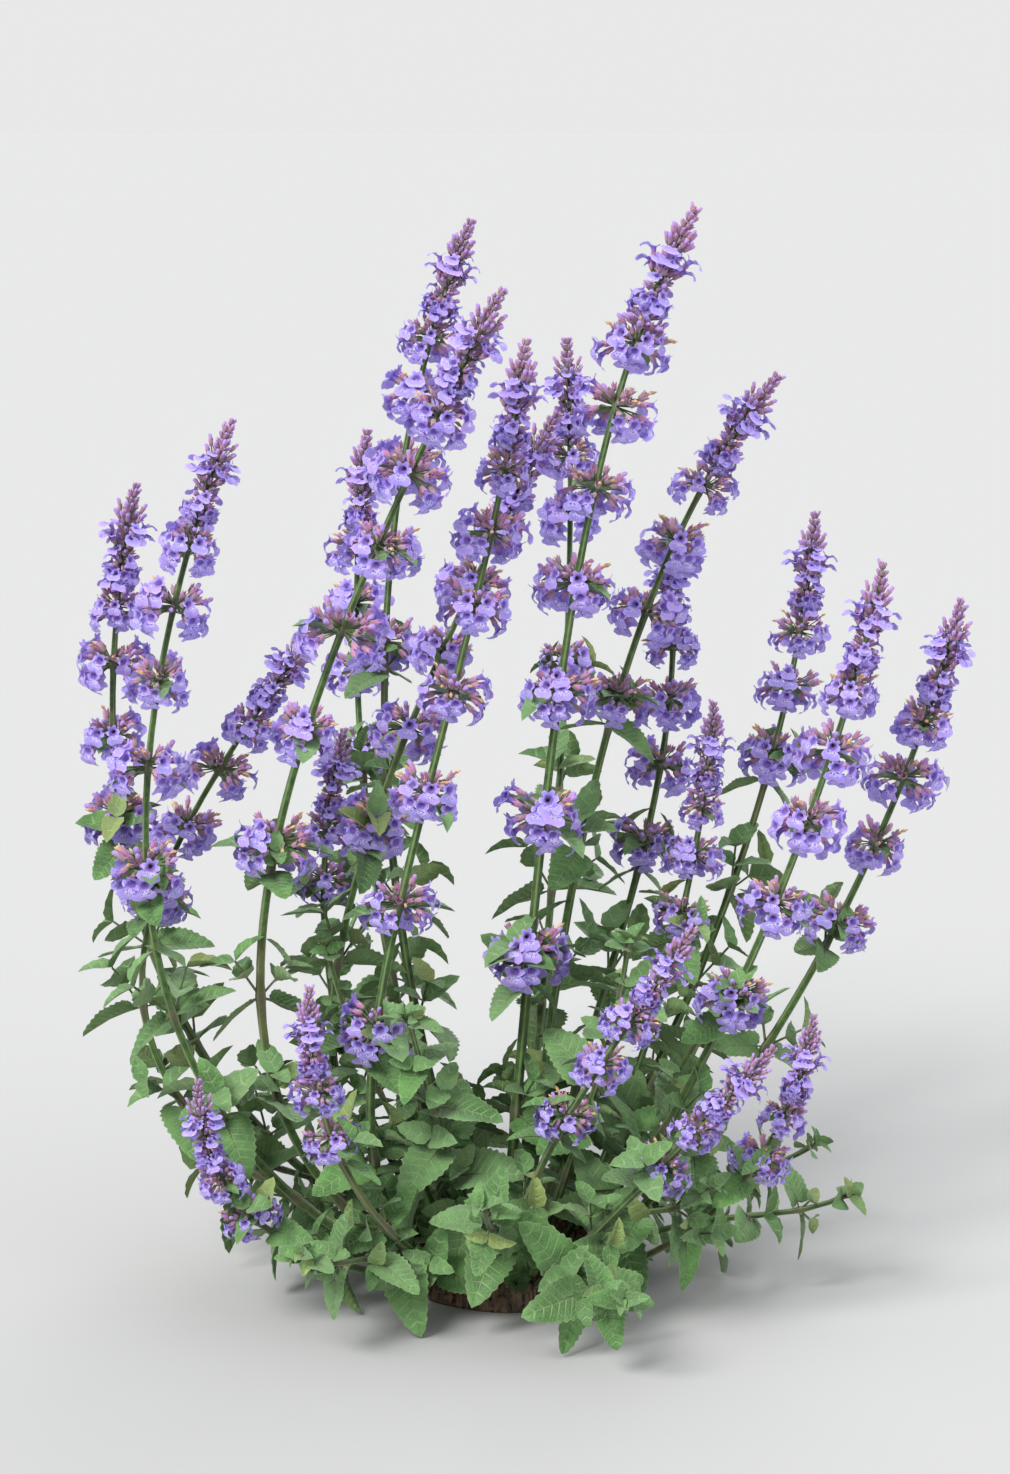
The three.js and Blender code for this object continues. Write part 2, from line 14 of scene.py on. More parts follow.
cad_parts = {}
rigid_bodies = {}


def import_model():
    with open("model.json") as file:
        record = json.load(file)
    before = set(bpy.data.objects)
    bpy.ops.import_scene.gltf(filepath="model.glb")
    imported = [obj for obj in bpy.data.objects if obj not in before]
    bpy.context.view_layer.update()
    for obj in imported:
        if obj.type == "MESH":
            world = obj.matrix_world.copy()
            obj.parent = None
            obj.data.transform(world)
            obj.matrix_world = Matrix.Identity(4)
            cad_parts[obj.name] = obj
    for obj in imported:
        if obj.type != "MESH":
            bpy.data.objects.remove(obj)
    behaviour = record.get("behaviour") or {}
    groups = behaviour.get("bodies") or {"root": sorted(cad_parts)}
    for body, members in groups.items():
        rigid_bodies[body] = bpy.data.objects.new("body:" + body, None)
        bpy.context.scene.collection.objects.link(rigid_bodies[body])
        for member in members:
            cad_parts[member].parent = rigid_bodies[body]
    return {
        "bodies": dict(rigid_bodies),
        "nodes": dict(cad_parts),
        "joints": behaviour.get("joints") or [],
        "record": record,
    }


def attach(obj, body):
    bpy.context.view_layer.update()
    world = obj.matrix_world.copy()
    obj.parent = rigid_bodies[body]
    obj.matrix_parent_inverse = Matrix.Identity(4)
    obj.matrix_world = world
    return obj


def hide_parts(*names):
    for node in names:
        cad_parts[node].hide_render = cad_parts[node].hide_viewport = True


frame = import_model()
scene = bpy.context.scene
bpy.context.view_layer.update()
MM = 0.001

# ---- the plant's plan, as its solids have it: millimetres and degrees ----
ROOT_HEIGHT = 9
COLLAR = 38
STEM_WIDTH = 5.4
TOP_WIDTH = 2.6
SHOOT_WIDTH = 3.8
PATH_SAMPLES = 60

LEAF_LENGTH = 50
LEAF_WIDTH = 0.66
LEAF_ARCH = 0.26
LEAF_FOLD = 0.16
LEAF_BACK = 0.5
LEAF_SKYWARD = 1.2
LEAF_LEVEL = 0.5
LEAF_LOWEST = COLLAR + 8
STEM_SPACING = 70
SHOOT_SPACING = 30
STEM_LEAVES = (0.66, 0.12)
SHOOT_LEAVES = (0.45, 0.2)
SHOOT_LEAF_SIZE = 0.95
STEM_LEAF_GAIN = 0.1
LEAF_UNDER_FLOWERS = 6
LEAF_UNDER_TIP = 5

WHORL_AT = (76, 112, 156, 208, 268, 336, 412)
WHORL_SPREAD = 9.5
WHORL_DEPTH = 6.5
WHORL_RISE = 6
WHORL_REACH = 4.3
WHORL_LIP = 9
WHORL_UPRIGHT = 0.5
WHORL_FOOT = 13
TOP_WHORL = 0.85
SPIKE_TIERS = ((56, 2.6), (45, 4.6), (29, 4.4), (13, 3.2))
SPIKE_FACES = (((1, 1), (1, 0), (0, 0)), ((1, 0), (1, 1), (2, 0)), ((2, 0), (2, 1), (3, 1)))
SPIKE_REACH = 3
SPIKE_LIP = 6.5
BUD_SHARE = 0.82
BUD_REACH = 0.8

STEM_SEEDS = (41, 97)
SHOOT_SEEDS = (46, 31)
SPIN = (-20, 20)
FLOWER_SHARE = (0.9, 1.1)
SPIKE_SHARE = (0.93, 1.07)
LEAF_SHARE = (0.88, 1.1)
LEAF_TURN = (-14, 14)
LEAF_ROLL = (-36, 36)
STEM_LIFT = (-30, 18)
SHOOT_LIFT = (-5, 28)
SPINS = (0, 30, -30, 60, -60, 90)
SLIDES = (0, 7, -7)
TURNS = (0, 18, -18, 34, -34)
LIFTS = (0, 16, -16)
SAME_PLACE = 0.2  # a planned corner and a solid's corner this near are the same one
BLADE_CORNERS = ((0, 1), (0.42, 0.42), (-0.42, 0.42))  # shares of a blade's width and length

# Each flowering stem: root [x, y], two points that pull its curve, tip, whorls, flower size.
FLOWERING = {
    "main": (
        ((-2, -8), (20, -30, 250), (30, -30, 520), (111, -10, 651), 7, 1.1),
        ((-30, -22), (-150, -90, 90), (-20, -60, 330), (12, -25, 576), 7, 1),
        ((-28, 6), (-190, -10, 110), (-60, 20, 340), (30, 20, 530), 5, 1),
        ((-44, -6), (-240, -50, 120), (-110, -60, 400), (-2, -100, 609), 6, 1.05),
        ((12, 6), (30, 60, 200), (60, 70, 420), (165, 60, 549), 4, 1.05),
        ((-14, 24), (-90, 110, 200), (-100, 130, 450), (-21, 120, 640), 5, 1),
        ((-50, -22), (-270, -60, 120), (-220, -60, 370), (-159, -40, 531), 5, 1),
        ((-48, 22), (-260, 90, 100), (-260, 70, 320), (-225, 60, 483), 4, 1),
        ((40, -18), (110, -70, 120), (190, -60, 300), (221, -40, 447), 5, 1),
        ((50, 4), (150, 10, 100), (235, 10, 260), (272, 0, 420), 4, 1),
        ((20, 28), (50, 110, 150), (125, 110, 290), (100, 100, 450), 4, 0.95),
        ((-52, 4), (-330, 20, 120), (-200, -10, 280), (-114, 0, 402), 4, 0.9),
    ),
    "back": (
        ((-24, 44), (-90, 190, 150), (-110, 220, 330), (-90, 230, 500), 4, 1),
        ((8, 48), (30, 200, 170), (50, 230, 380), (40, 225, 560), 4, 1),
        ((34, 38), (130, 160, 130), (190, 190, 300), (200, 190, 450), 3, 1),
    ),
    "low": (
        ((6, -28), (0, -110, 90), (50, -120, 160), (108, -110, 245), 3, 0.85),
        ((26, -36), (50, -130, 70), (95, -150, 120), (152, -150, 185), 2, 0.85),
        ((-14, -42), (-70, -120, 50), (-115, -140, 120), (-112, -130, 215), 2, 0.8),
        ((-32, 22), (-120, 70, 110), (-125, 75, 220), (-100, 70, 330), 2, 0.85),
        ((34, 12), (90, 50, 120), (120, 55, 230), (128, 50, 350), 3, 0.85),
        ((44, -34), (130, -110, 60), (165, -120, 120), (178, -115, 195), 2, 0.8),
        ((-44, -38), (-150, -110, 50), (-175, -115, 90), (-178, -110, 155), 2, 0.8),
    ),
}
# Each leafy shoot: bearing, root radius, then [radius, height] of two pulling points and its tip.
SHOOTS = (
    (24, 53, (108, 54), (172, 36), (215, 60)),
    (64, 53, (90, 76), (144, 51), (180, 85)),
    (100, 53, (108, 54), (172, 36), (215, 60)),
    (166, 53, (100, 72), (160, 48), (200, 80)),
    (236, 53, (102, 63), (164, 42), (205, 70)),
    (266, 53, (80, 85), (128, 57), (160, 95)),
    (288, 53, (108, 50), (172, 33), (215, 55)),
    (314, 53, (85, 85), (136, 57), (170, 95)),
    (350, 53, (105, 58), (168, 39), (210, 65)),
    (195, 31, (50, 80), (95, 140), (110, 215)),
    (240, 28, (45, 70), (85, 120), (112, 190)),
    (324, 27, (40, 80), (80, 140), (90, 225)),
    (356, 30, (55, 70), (105, 115), (128, 180)),
)


# ---- small vector helpers ----
def unit(v):
    return v / np.linalg.norm(v)


def between(one, other, share):
    return one + (other - one) * share


def run(points):
    """How far each point is along its row."""
    return np.concatenate([[0], np.cumsum(np.linalg.norm(np.diff(points, axis=0), axis=1))])


def circle(angle):
    """The level direction at an angle from X, or at many."""
    return np.stack([np.cos(angle), np.sin(angle), 0 * angle], -1)


def square_to(v, axis):
    """v made square to a unit axis, at length 1."""
    return unit(v - axis * (v @ axis))


def turned(v, axis, degrees):
    """v turned about a unit axis."""
    angle = math.radians(degrees)
    along_axis = axis * (axis @ v)
    return along_axis + (v - along_axis) * math.cos(angle) + np.cross(axis, v) * math.sin(angle)


def drawer(seeds, index):
    """The solids' seeded draws."""
    state = seeds[0] + seeds[1] * index

    def draw(limits):
        nonlocal state
        state = (state * 1664525 + 1013904223) % 2**32
        return limits[0] + (limits[1] - limits[0]) * state / 2**32

    return draw


class Spot:
    """A place on a stem: its point, and the tangent, side and up of the stem there."""

    def __init__(self, point, tangent, side):
        self.point = point
        self.tangent = tangent
        self.side = side
        self.up = np.cross(tangent, side)

    def outward(self, degrees):
        angle = math.radians(degrees)
        return self.side * math.cos(angle) + self.up * math.sin(angle)


def corner_test(node):
    """Tells whether one CAD node has corners at all the points that it is asked for."""
    vertices = frame["nodes"][node].data.vertices
    tree = kdtree.KDTree(len(vertices))
    for i, vertex in enumerate(vertices):
        tree.insert(vertex.co / MM, i)
    tree.balance()
    return lambda points: all(tree.find(Vector(p))[2] < SAME_PLACE for p in points)


# ---- what grows, and where its solid has it ----
SQUARE = ((1, 1), (-1, 1), (-1, -1), (1, -1))


class Leaf:
    """A blade's frame, from the stem's middle out to its tip."""

    def __init__(self, spot, face, turn, lift, roll, length):
        rise = math.radians(lift)
        out = spot.outward(90 * (face + 1) + turn)
        axis = unit(out * math.cos(rise) + spot.tangent * math.sin(rise))
        sky = spot.tangent - out * LEAF_BACK + (0, 0, LEAF_SKYWARD)
        across = unit(np.cross(axis, sky)) + unit(np.cross(out, spot.tangent)) * LEAF_LEVEL
        across = turned(square_to(across, axis), axis, roll)
        self.frame = np.array([across, axis, np.cross(across, axis)]) * length
        self.spot = spot
        self.out = out
        self.length = length

    def corners(self):
        for x, y in BLADE_CORNERS:
            height = LEAF_FOLD * LEAF_WIDTH * abs(x) - LEAF_ARCH * y**2
            yield self.spot.point + (LEAF_WIDTH * x, y, height) @ self.frame


class Stem:
    """One stem: its curve, with a frame that doesn't twist, and what grows along it."""

    def __init__(self, name, foot_width, *corners):
        self.name = name
        self.foot_width = foot_width
        self.leaves, self.whorls = [], []
        t = np.linspace(0, 1, PATH_SAMPLES + 1)[:, None]
        weights = ((1 - t) ** 3, 3 * t * (1 - t) ** 2, 3 * t**2 * (1 - t), t**3)
        points = sum(w * np.array(p, float) for w, p in zip(weights, corners))
        tangents = np.gradient(points, axis=0)
        tangents /= np.linalg.norm(tangents, axis=1)[:, None]
        bearing = math.atan2(tangents[0][1], tangents[0][0])
        sides = [np.array([-math.sin(bearing), math.cos(bearing), 0])]
        for tangent in tangents[1:]:
            sides.append(square_to(sides[-1], tangent))
        self.rows = np.stack([points, tangents, sides], 1)
        self.lengths = run(points)
        self.length = self.lengths[-1]

    def along(self, distance):
        wanted = min(max(distance, 0), self.length)
        i = np.searchsorted(self.lengths[1:-1], wanted)
        share = (wanted - self.lengths[i]) / (self.lengths[i + 1] - self.lengths[i])
        point, tangent, side = between(self.rows[i], self.rows[i + 1], share)
        tangent = unit(tangent)
        return Spot(point, tangent, square_to(side, tangent))

    def width(self, distance):
        return self.foot_width + (TOP_WIDTH - self.foot_width) * distance / self.length

    def corner(self, distance, k):
        """One of the four corners of the solid's section."""
        spot, half = self.along(distance), self.width(distance) / 2
        return spot.point + spot.side * SQUARE[k][0] * half + spot.up * SQUARE[k][1] * half

    def grow_leaves(self, draw, node, distance, size, spacing, growth, lift):
        """Plans pairs of leaves from the top down, and keeps those that the solid has."""
        is_there = corner_test(node)
        pair = 0
        while distance > LEAF_LOWEST:
            spot = self.along(distance)
            grown = size * min(1, growth[0] + growth[1] * pair)
            for half in (0, 2):
                face = (3 + pair % 2 + half) % 4
                turn, rise, roll = (draw(limits) for limits in (LEAF_TURN, lift, LEAF_ROLL))
                length = LEAF_LENGTH * grown * draw(LEAF_SHARE)
                for more_turn, more_rise in product(TURNS, LIFTS):
                    leaf = Leaf(spot, face, turn + more_turn, rise + more_rise, roll, length)
                    if is_there(leaf.corners()):
                        leaf.distance = distance
                        self.leaves.append(leaf)
                        break
            distance -= spacing * draw(LEAF_SHARE)
            pair += 1


class Floret:
    """One raised floret of a solid: its middle line and the three corners of its lip."""

    def __init__(self, centre, corners, reach, lip, is_bud):
        middle = sum(corners) / 3
        self.centre = centre
        self.is_bud = is_bud
        self.mouth = between(centre, middle, reach * BUD_REACH if is_bud else reach)
        self.rim = [self.mouth + unit(corner - middle) * lip for corner in corners]


class Whorl:
    """One whorl of a flowering stem: the corners of its widest ring, and its eight florets."""

    def __init__(self, stem, order, distance, spin, size, draws):
        self.order, self.distance, self.size = order, distance, size
        self.spot = spot = stem.along(distance)
        self.rise = unit(spot.tangent + (0, 0, WHORL_UPRIGHT))
        step = math.floor(spin / 90 + 0.5)
        spread = square_to(spot.outward(spin - 90 * step), self.rise)
        depth = np.cross(self.rise, spread)
        self.ring = []
        for k in range(4):
            reach = WHORL_SPREAD if (k + step) % 2 == 0 else WHORL_DEPTH
            reach *= size if k < 2 else -size
            self.ring.append(spot.point + (depth if k % 2 else spread) * reach)
        self.florets = []
        for k, (reach, is_bud) in enumerate(draws):
            way = 1 if k > 3 else -1
            face = [self.ring[k % 4], self.ring[(k + 1) % 4]][::way]
            face.append(stem.corner(distance + way * WHORL_RISE * size, k % 4))
            self.florets.append(Floret(spot.point, face, reach, WHORL_LIP * size, is_bud))


def spike_florets(stem, turn, reaches):
    """The twelve florets of a terminal spike, four to a row."""
    rings, spots = [], []
    for i, (distance, radius) in enumerate(SPIKE_TIERS):
        spot = stem.along(stem.length - distance * stem.size)
        angles = [turn + 90 * k + (0 if i % 2 else 45) for k in range(4)]
        rings.append([spot.point + spot.outward(a) * radius * stem.size for a in angles])
        spots.append(spot)
    for k, reach in enumerate(reaches):
        face = SPIKE_FACES[k // 4]
        corners = [rings[tier][(k + step) % 4] for tier, step in face]
        yield Floret(spots[face[0][0]].point, corners, reach, SPIKE_LIP * stem.size, k > 7)


def flowering_stem(index, name, row):
    (x, y), low, high, tip, count, size = row
    draw = drawer(STEM_SEEDS, index)
    stem = Stem(name, STEM_WIDTH * size, (x, y, ROOT_HEIGHT), low, high, tip)
    stem.size = size
    turn = draw(SPIN)
    reaches = [SPIKE_REACH * draw(SPIKE_SHARE) for _ in range(12)]
    stem.florets = list(spike_florets(stem, turn, reaches))
    plans = []
    for i in range(count):
        grown = size * draw(FLOWER_SHARE) * (1 if i else TOP_WHORL)
        spin = 90 * (i % 2) + draw(SPIN)
        draws = [(WHORL_REACH * draw(FLOWER_SHARE), draw((0, 1)) < BUD_SHARE and k > 3)
                 for k in range(8)]
        plans.append((i, stem.length - WHORL_AT[i] * size, spin, grown, draws))
    stem.end = plans[-1][1] - WHORL_FOOT * size
    top, leaf_size = stem.end - LEAF_UNDER_FLOWERS, min(1, size + STEM_LEAF_GAIN)
    rules = (top, leaf_size, STEM_SPACING * size, STEM_LEAVES, STEM_LIFT)
    stem.grow_leaves(draw, name + "_stem", *rules)
    is_there = corner_test(name + "_flowers")
    for order, distance, spin, grown, draws in plans:
        for turn, slide in product(SPINS, SLIDES):
            whorl = Whorl(stem, order, distance + slide, spin + turn, grown, draws)
            if is_there(whorl.ring):
                stem.whorls.append(whorl)
                break
    return stem


def leafy_shoot(index, row):
    bearing, root_radius, *rest = row
    level = circle(math.radians(bearing))
    corners = [level * r + (0, 0, z) for r, z in ((root_radius, ROOT_HEIGHT), *rest)]
    stem = Stem(f"shoot_{index + 1}", SHOOT_WIDTH, *corners)
    stem.end = stem.length
    rules = (stem.end - LEAF_UNDER_TIP, SHOOT_LEAF_SIZE, SHOOT_SPACING, SHOOT_LEAVES, SHOOT_LIFT)
    stem.grow_leaves(drawer(SHOOT_SEEDS, index), stem.name, *rules)
    return stem


plants = [(f"{kind}_{i}", row) for kind in FLOWERING for i, row in enumerate(FLOWERING[kind], 1)]
stems = [flowering_stem(i, *plant) for i, plant in enumerate(plants)]
shoots = [leafy_shoot(i, row) for i, row in enumerate(SHOOTS)]


# ---- small meshes, made once and copied ----
def curve(keys, t):
    """A smooth line through rows of [t, value, ...], read at each t."""
    at, values = keys[:, 0], keys[:, 1:]
    slopes = np.gradient(values, at, axis=0)
    i = np.clip(np.searchsorted(at, t, side="right") - 1, 0, len(at) - 2)
    span = (at[i + 1] - at[i])[..., None]
    s = (t - at[i])[..., None] / span
    start = values[i] * (1 + 2 * s) * (1 - s) ** 2 + slopes[i] * span * s * (1 - s) ** 2
    return start + values[i + 1] * s * s * (3 - 2 * s) + slopes[i + 1] * span * s * s * (s - 1)


HAIR_TWIST = (0.31, 0.52, 0.79)
HAIR_WIDTH = 0.09
HALF_ROOT_3 = 0.87


class Template:
    """A small triangle mesh; each corner of a triangle has its place (a, b) on its surface."""

    def __init__(self):
        self.points = np.zeros((0, 3))
        self.tris = np.zeros((0, 3), int)
        self.place = np.zeros((0, 3, 2))
        self.skins = np.zeros(0, int)

    def put(self, points, tris, place, skin):
        self.tris = np.vstack([self.tris, tris + len(self.points)])
        self.points = np.vstack([self.points, points])
        self.place = np.concatenate([self.place, place])
        self.skins = np.concatenate([self.skins, np.full(len(tris), skin)])
        return self

    def sheet(self, points, a, b, skin, closed=False, flip=False):
        """Adds triangles between rows of points; a runs along each row and b from row to row."""
        rows, cols = points.shape[:2]
        r, c = np.indices((rows - 1, cols if closed else cols - 1)).reshape(2, -1, 1)
        r, c = r + (0, 0, 1, 0, 1, 1), c + (0, 1, 1, 0, 1, 0)
        points = points.reshape(-1, 3)
        rounded = np.round(points, 5)
        _, first, welded = np.unique(rounded, axis=0, return_index=True, return_inverse=True)
        tris = welded.ravel()[r * cols + c % cols].reshape(-1, 3)
        place = np.stack([np.asarray(a)[c], np.asarray(b)[r]], -1).reshape(-1, 3, 2)
        real = (tris != np.roll(tris, 1, axis=1)).all(axis=1)
        way = -1 if flip else 1
        return self.put(points[first], tris[real][:, ::way], place[real][:, ::way], skin)

    def hairs(self, feet, tips, a, b, skin):
        """Adds a thin three-sided spike for each hair."""
        along = tips - feet
        across = np.cross(along, HAIR_TWIST)
        across *= HAIR_WIDTH / np.linalg.norm(across, axis=1)[:, None]
        third = np.cross(along, across) / np.linalg.norm(along, axis=1)[:, None]
        middle, half = feet - across / 2, third * HALF_ROOT_3
        points = np.stack([feet + across, middle + half, middle - half, tips], 1).reshape(-1, 3)
        step = 4 * np.arange(len(feet))[:, None, None]
        tris = (np.array([(0, 1, 3), (1, 2, 3), (2, 0, 3)]) + step).reshape(-1, 3)
        place = np.repeat(np.stack([a, b], -1)[:, None], 9, axis=1).reshape(-1, 3, 2)
        return self.put(points, tris, place, skin)


def around(count):
    return np.linspace(0, 2 * math.pi, count, endpoint=False)


def lathe(profile, sides):
    """Rings about Z from rows of [height, radius], as points[row, side]."""
    ring = circle(around(sides)[::-1])[:, (1, 0, 2)]
    return np.array([ring * radius + (0, 0, height) for height, radius in profile])


def shares(count):
    return np.linspace(0, 1, count)


# Skins, in the order of SKINS.
LEAF_TOP, LEAF_UNDER, STEM, PETAL, CALYX, BUD, SPENT, BARK = range(8)

# A leaf's rows fan out from its midrib: [t, midrib y, margin x, margin y], in leaf lengths.
LEAF_ROWS = np.array([
    (0, 0.15, 0.1, 0.105), (0.08, 0.15, 0.195, 0.1), (0.16, 0.152, 0.262, 0.135),
    (0.26, 0.16, 0.298, 0.225), (0.4, 0.2, 0.3, 0.37), (0.55, 0.35, 0.272, 0.53),
    (0.7, 0.53, 0.222, 0.68), (0.84, 0.72, 0.158, 0.82), (0.94, 0.875, 0.094, 0.93),
    (1, 1, 0, 1),
])
LEAF_SHELL = 0.0045
SIDE_VEINS = 11
TOOTH_REACH = 0.034
TOOTH_RISE = 0.014
VEIN_SWEEP = 0.03
QUILTING = 0.02
RIB_GROOVE = 0.016
CURL_FROM = 0.55
# The rib below a leaf: its places along the midrib, and its thickness there.
RIB_AT = np.array([0, 0.08, 0.16, 0.3, 0.55, 0.9])
RIB_THICK = np.array([0.019, 0.015, 0.015, 0.011, 0.008, 0.002])
RIB_DROP = 0.009
BLADE_FROM = 0.16


def leaf_template(columns, teeth, fold, curl, wave, phase):
    """A closed blade, 1 long, X across and Y to the tip; large ones have a stalk and a rib."""
    t = shares(2 * teeth + 1)[:, None]
    spine, edge_x, edge_y = curve(LEAF_ROWS, t[:, 0]).T[..., None]
    v = np.array([[-c for c in columns[::-1]] + [0, *columns]])
    side = np.abs(v)
    tooth = np.abs(np.sin(math.pi * teeth * t))
    fade = (1 - t) ** 0.25
    if teeth < SIDE_VEINS:  # a small leaf has no stalk, and its blade starts at its foot
        spine[0] = edge_x[0] = edge_y[0] = fade[0] = 0
    x = v * (edge_x + TOOTH_REACH * (tooth - 0.5) * side**3 * fade)
    y = spine + side * (edge_y - spine) + VEIN_SWEEP * side * (1 - side) * fade
    y += TOOTH_RISE * tooth * side**3 * fade
    relief = QUILTING * tooth**2 * np.sin(math.pi * np.minimum(side, 0.93) ** 0.8)
    relief -= RIB_GROOVE * np.exp(-((side / 0.14) ** 2)) * fade
    waves = wave * side**2 * np.sin(2 * math.pi * (2.3 * t + phase + 0.35 * (v > 0)))
    z = (LEAF_FOLD + fold) * np.abs(x) - LEAF_ARCH * y**2 + relief + waves * fade
    z -= curl * np.maximum(y - CURL_FROM, 0) ** 2
    shell = LEAF_SHELL * (side < 1) * (t < 1) * (t > 0)
    leaf = Template()
    for lift, skin in ((shell, LEAF_TOP), (-shell, LEAF_UNDER)):
        points = np.stack(np.broadcast_arrays(x, y, z + lift), -1)
        b = t[:, 0] * teeth / SIDE_VEINS
        leaf.sheet(points, 0.5 + v[0] / 2, b, skin, flip=skin == LEAF_UNDER)
    if teeth < SIDE_VEINS:
        return leaf
    angles = around(5)
    drop = np.where(RIB_AT > BLADE_FROM, RIB_DROP, 0)
    below = -LEAF_ARCH * RIB_AT**2 - curl * np.maximum(RIB_AT - CURL_FROM, 0) ** 2 - drop
    thick, at, below = (row[:, None] for row in (RIB_THICK, RIB_AT, below))
    tube = np.stack([thick * np.cos(angles), at + 0 * angles, below - thick * np.sin(angles)], -1)
    return leaf.sheet(tube[:, ::-1], shares(6), RIB_AT * 0.12, STEM, closed=True, flip=True)


# Each leaf: fold, curl, wave and where the wave starts.
LEAVES = [leaf_template((0.36, 0.74, 1), SIDE_VEINS, *shape) for shape in (
    (0, 0, 0.012, 0.1), (0.1, 0.2, 0.018, 0.55), (-0.06, -0.16, 0.02, 0.3), (0.2, 0.1, 0.01, 0.8),
)]
SMALL_LEAVES = [leaf_template((0.55, 1), 4, *shape) for shape in (
    (0.25, 0.1, 0.01, 0.1), (0.5, 0.3, 0.015, 0.6), (0.1, -0.2, 0.02, 0.4),
)]

# Half of a corolla's lip, from its top round to its foot: [x, y, z], with Y up and Z forward.
LIP = np.array([
    (0, 3.2, 1.5), (1.8, 4.8, 1.9), (3.3, 3.9, 1.3), (2.5, 1.7, 0.4), (4.4, 1.4, 0.2),
    (4.9, -0.8, 0.6), (3.2, -2.3, 1.6), (5.5, -3.6, 3.3), (6.2, -6.2, 3), (3.7, -8.6, 2.2),
    (0, -8.1, 1.5),
])
LIP_FORWARD = np.array([0.3, 0.3, 0.2, 0.1, 0.1, 0.3, 0.8, 1.3, 1.6, 2.2, 2.6])
CALYX_LENGTH = 6.5
THROAT_AT = 9.4


def corolla_template(droop, spread, lean):
    """A two-lipped corolla whose tube comes out of its calyx and runs along Z."""
    half = LIP * (spread, 1, 1)
    half[6:, 2] -= droop * np.linspace(0.2, 1, 5)
    mirrored = half[-2:0:-1] * (-1, 1, 1)
    rim = np.vstack([half, mirrored]) + (0, 0, THROAT_AT)
    rim[:, 0] += lean * (rim[:, 1] < -1) * 0.8
    forward = np.concatenate([LIP_FORWARD, LIP_FORWARD[-2:0:-1]])[:, None]
    ring = circle(around(len(rim)))[:, (1, 0, 2)]
    waist = ring + (0, 0.3, 5)
    throat = ring * (2.1, 1.9, 0) + (0, 0, THROAT_AT)
    rows = [waist, throat]
    for share in (0.5, 1):
        bulge = forward * 4 * share * (1 - share) * (0, 0, 1)
        rows.append(between(throat, rim, share) + bulge)
    a = 1 - (np.arange(len(rim) + 1) + 1) / len(rim)
    return Template().sheet(np.array(rows)[:, ::-1], a, [0.1, 0.45, 0.74, 1], PETAL, closed=True)


# Each corolla: how far its lower lip droops, its breadth, and how far its lip leans aside.
COROLLAS = [corolla_template(*shape) for shape in (
    (0, 1, 0), (1.2, 0.92, 0.6), (-0.6, 1.08, -0.5), (0.6, 1, -0.9),
)]


def calyx_template():
    """A ribbed cup with five pointed teeth and two hairs."""
    points = lathe(((0, 0), (1.2, 1.4), (5.6, 1.85)), 10)
    is_tooth = np.arange(10) % 2 == 1
    points[2, :, :2] *= np.where(is_tooth, 1.16, 0.88)[:, None]
    points[2, :, 2] += np.where(is_tooth, 1.3, -0.9)
    calyx = Template().sheet(points, shares(11), [0, 0.25, 1], CALYX, closed=True)
    level = circle(np.array([1, 3.4]))
    feet = level * 1.45 + ((0, 0, 2.4), (0, 0, 4.3))
    tips = feet + level * 1.25 + (0, 0, 0.5)
    return calyx.hairs(feet, tips, (0, 0.5), (0.8, 0.8), CALYX)


def ball_template(profile, sides, skin, bend=0):
    points = lathe(profile, sides)
    points[..., 1] -= bend * (points[..., 2] / profile[-1][0]) ** 2
    return Template().sheet(points, shares(sides + 1), shares(len(profile)), skin, closed=True)


CUP = calyx_template()
BUDS = [ball_template(((4.8, 0.95), (8.1, 1.6), (9.6, 1.25), (10.3, 0)), 6, BUD, 0.6)]
YOUNG_BUDS = [ball_template(((4.6, 1.05), (7.2, 1), (8, 0)), 6, BUD)]
SPENTS = [ball_template(((4.6, 0.8), (7, 0.8), (8.8, 1.3), (11.2, 0)), 5, SPENT, 3.2)]
STALK = ball_template(((0, 0.55), (1, 0.5)), 3, STEM)


# ---- pieces: many copies of the small meshes in one mesh ----
# Where each skin lies in a piece's picture: left, bottom, right, top, and tiles along each.
CHARTS = {
    LEAF_TOP: (0, 0.2, 0.6, 1, 3, 3), LEAF_UNDER: (0.6, 0.4, 1, 1, 2, 3),
    STEM: (0, 0, 1, 0.19, 1, 1), PETAL: (0, 0.4, 1, 1, 4, 3), CALYX: (0, 0, 0.5, 0.4, 3, 2),
    BUD: (0.5, 0, 0.8, 0.4, 3, 2), SPENT: (0.8, 0, 1, 0.4, 2, 2), BARK: (0, 0, 1, 1, 1, 1),
}
CHART_MARGIN = 0.06
# The skins of each of the part's material slots.
SLOTS = {
    "foliage": (LEAF_TOP, LEAF_UNDER, STEM), "flowers": (PETAL, CALYX, BUD, SPENT),
    "crown": (BARK,),
}
FLOOR_CLEAR = 1.5


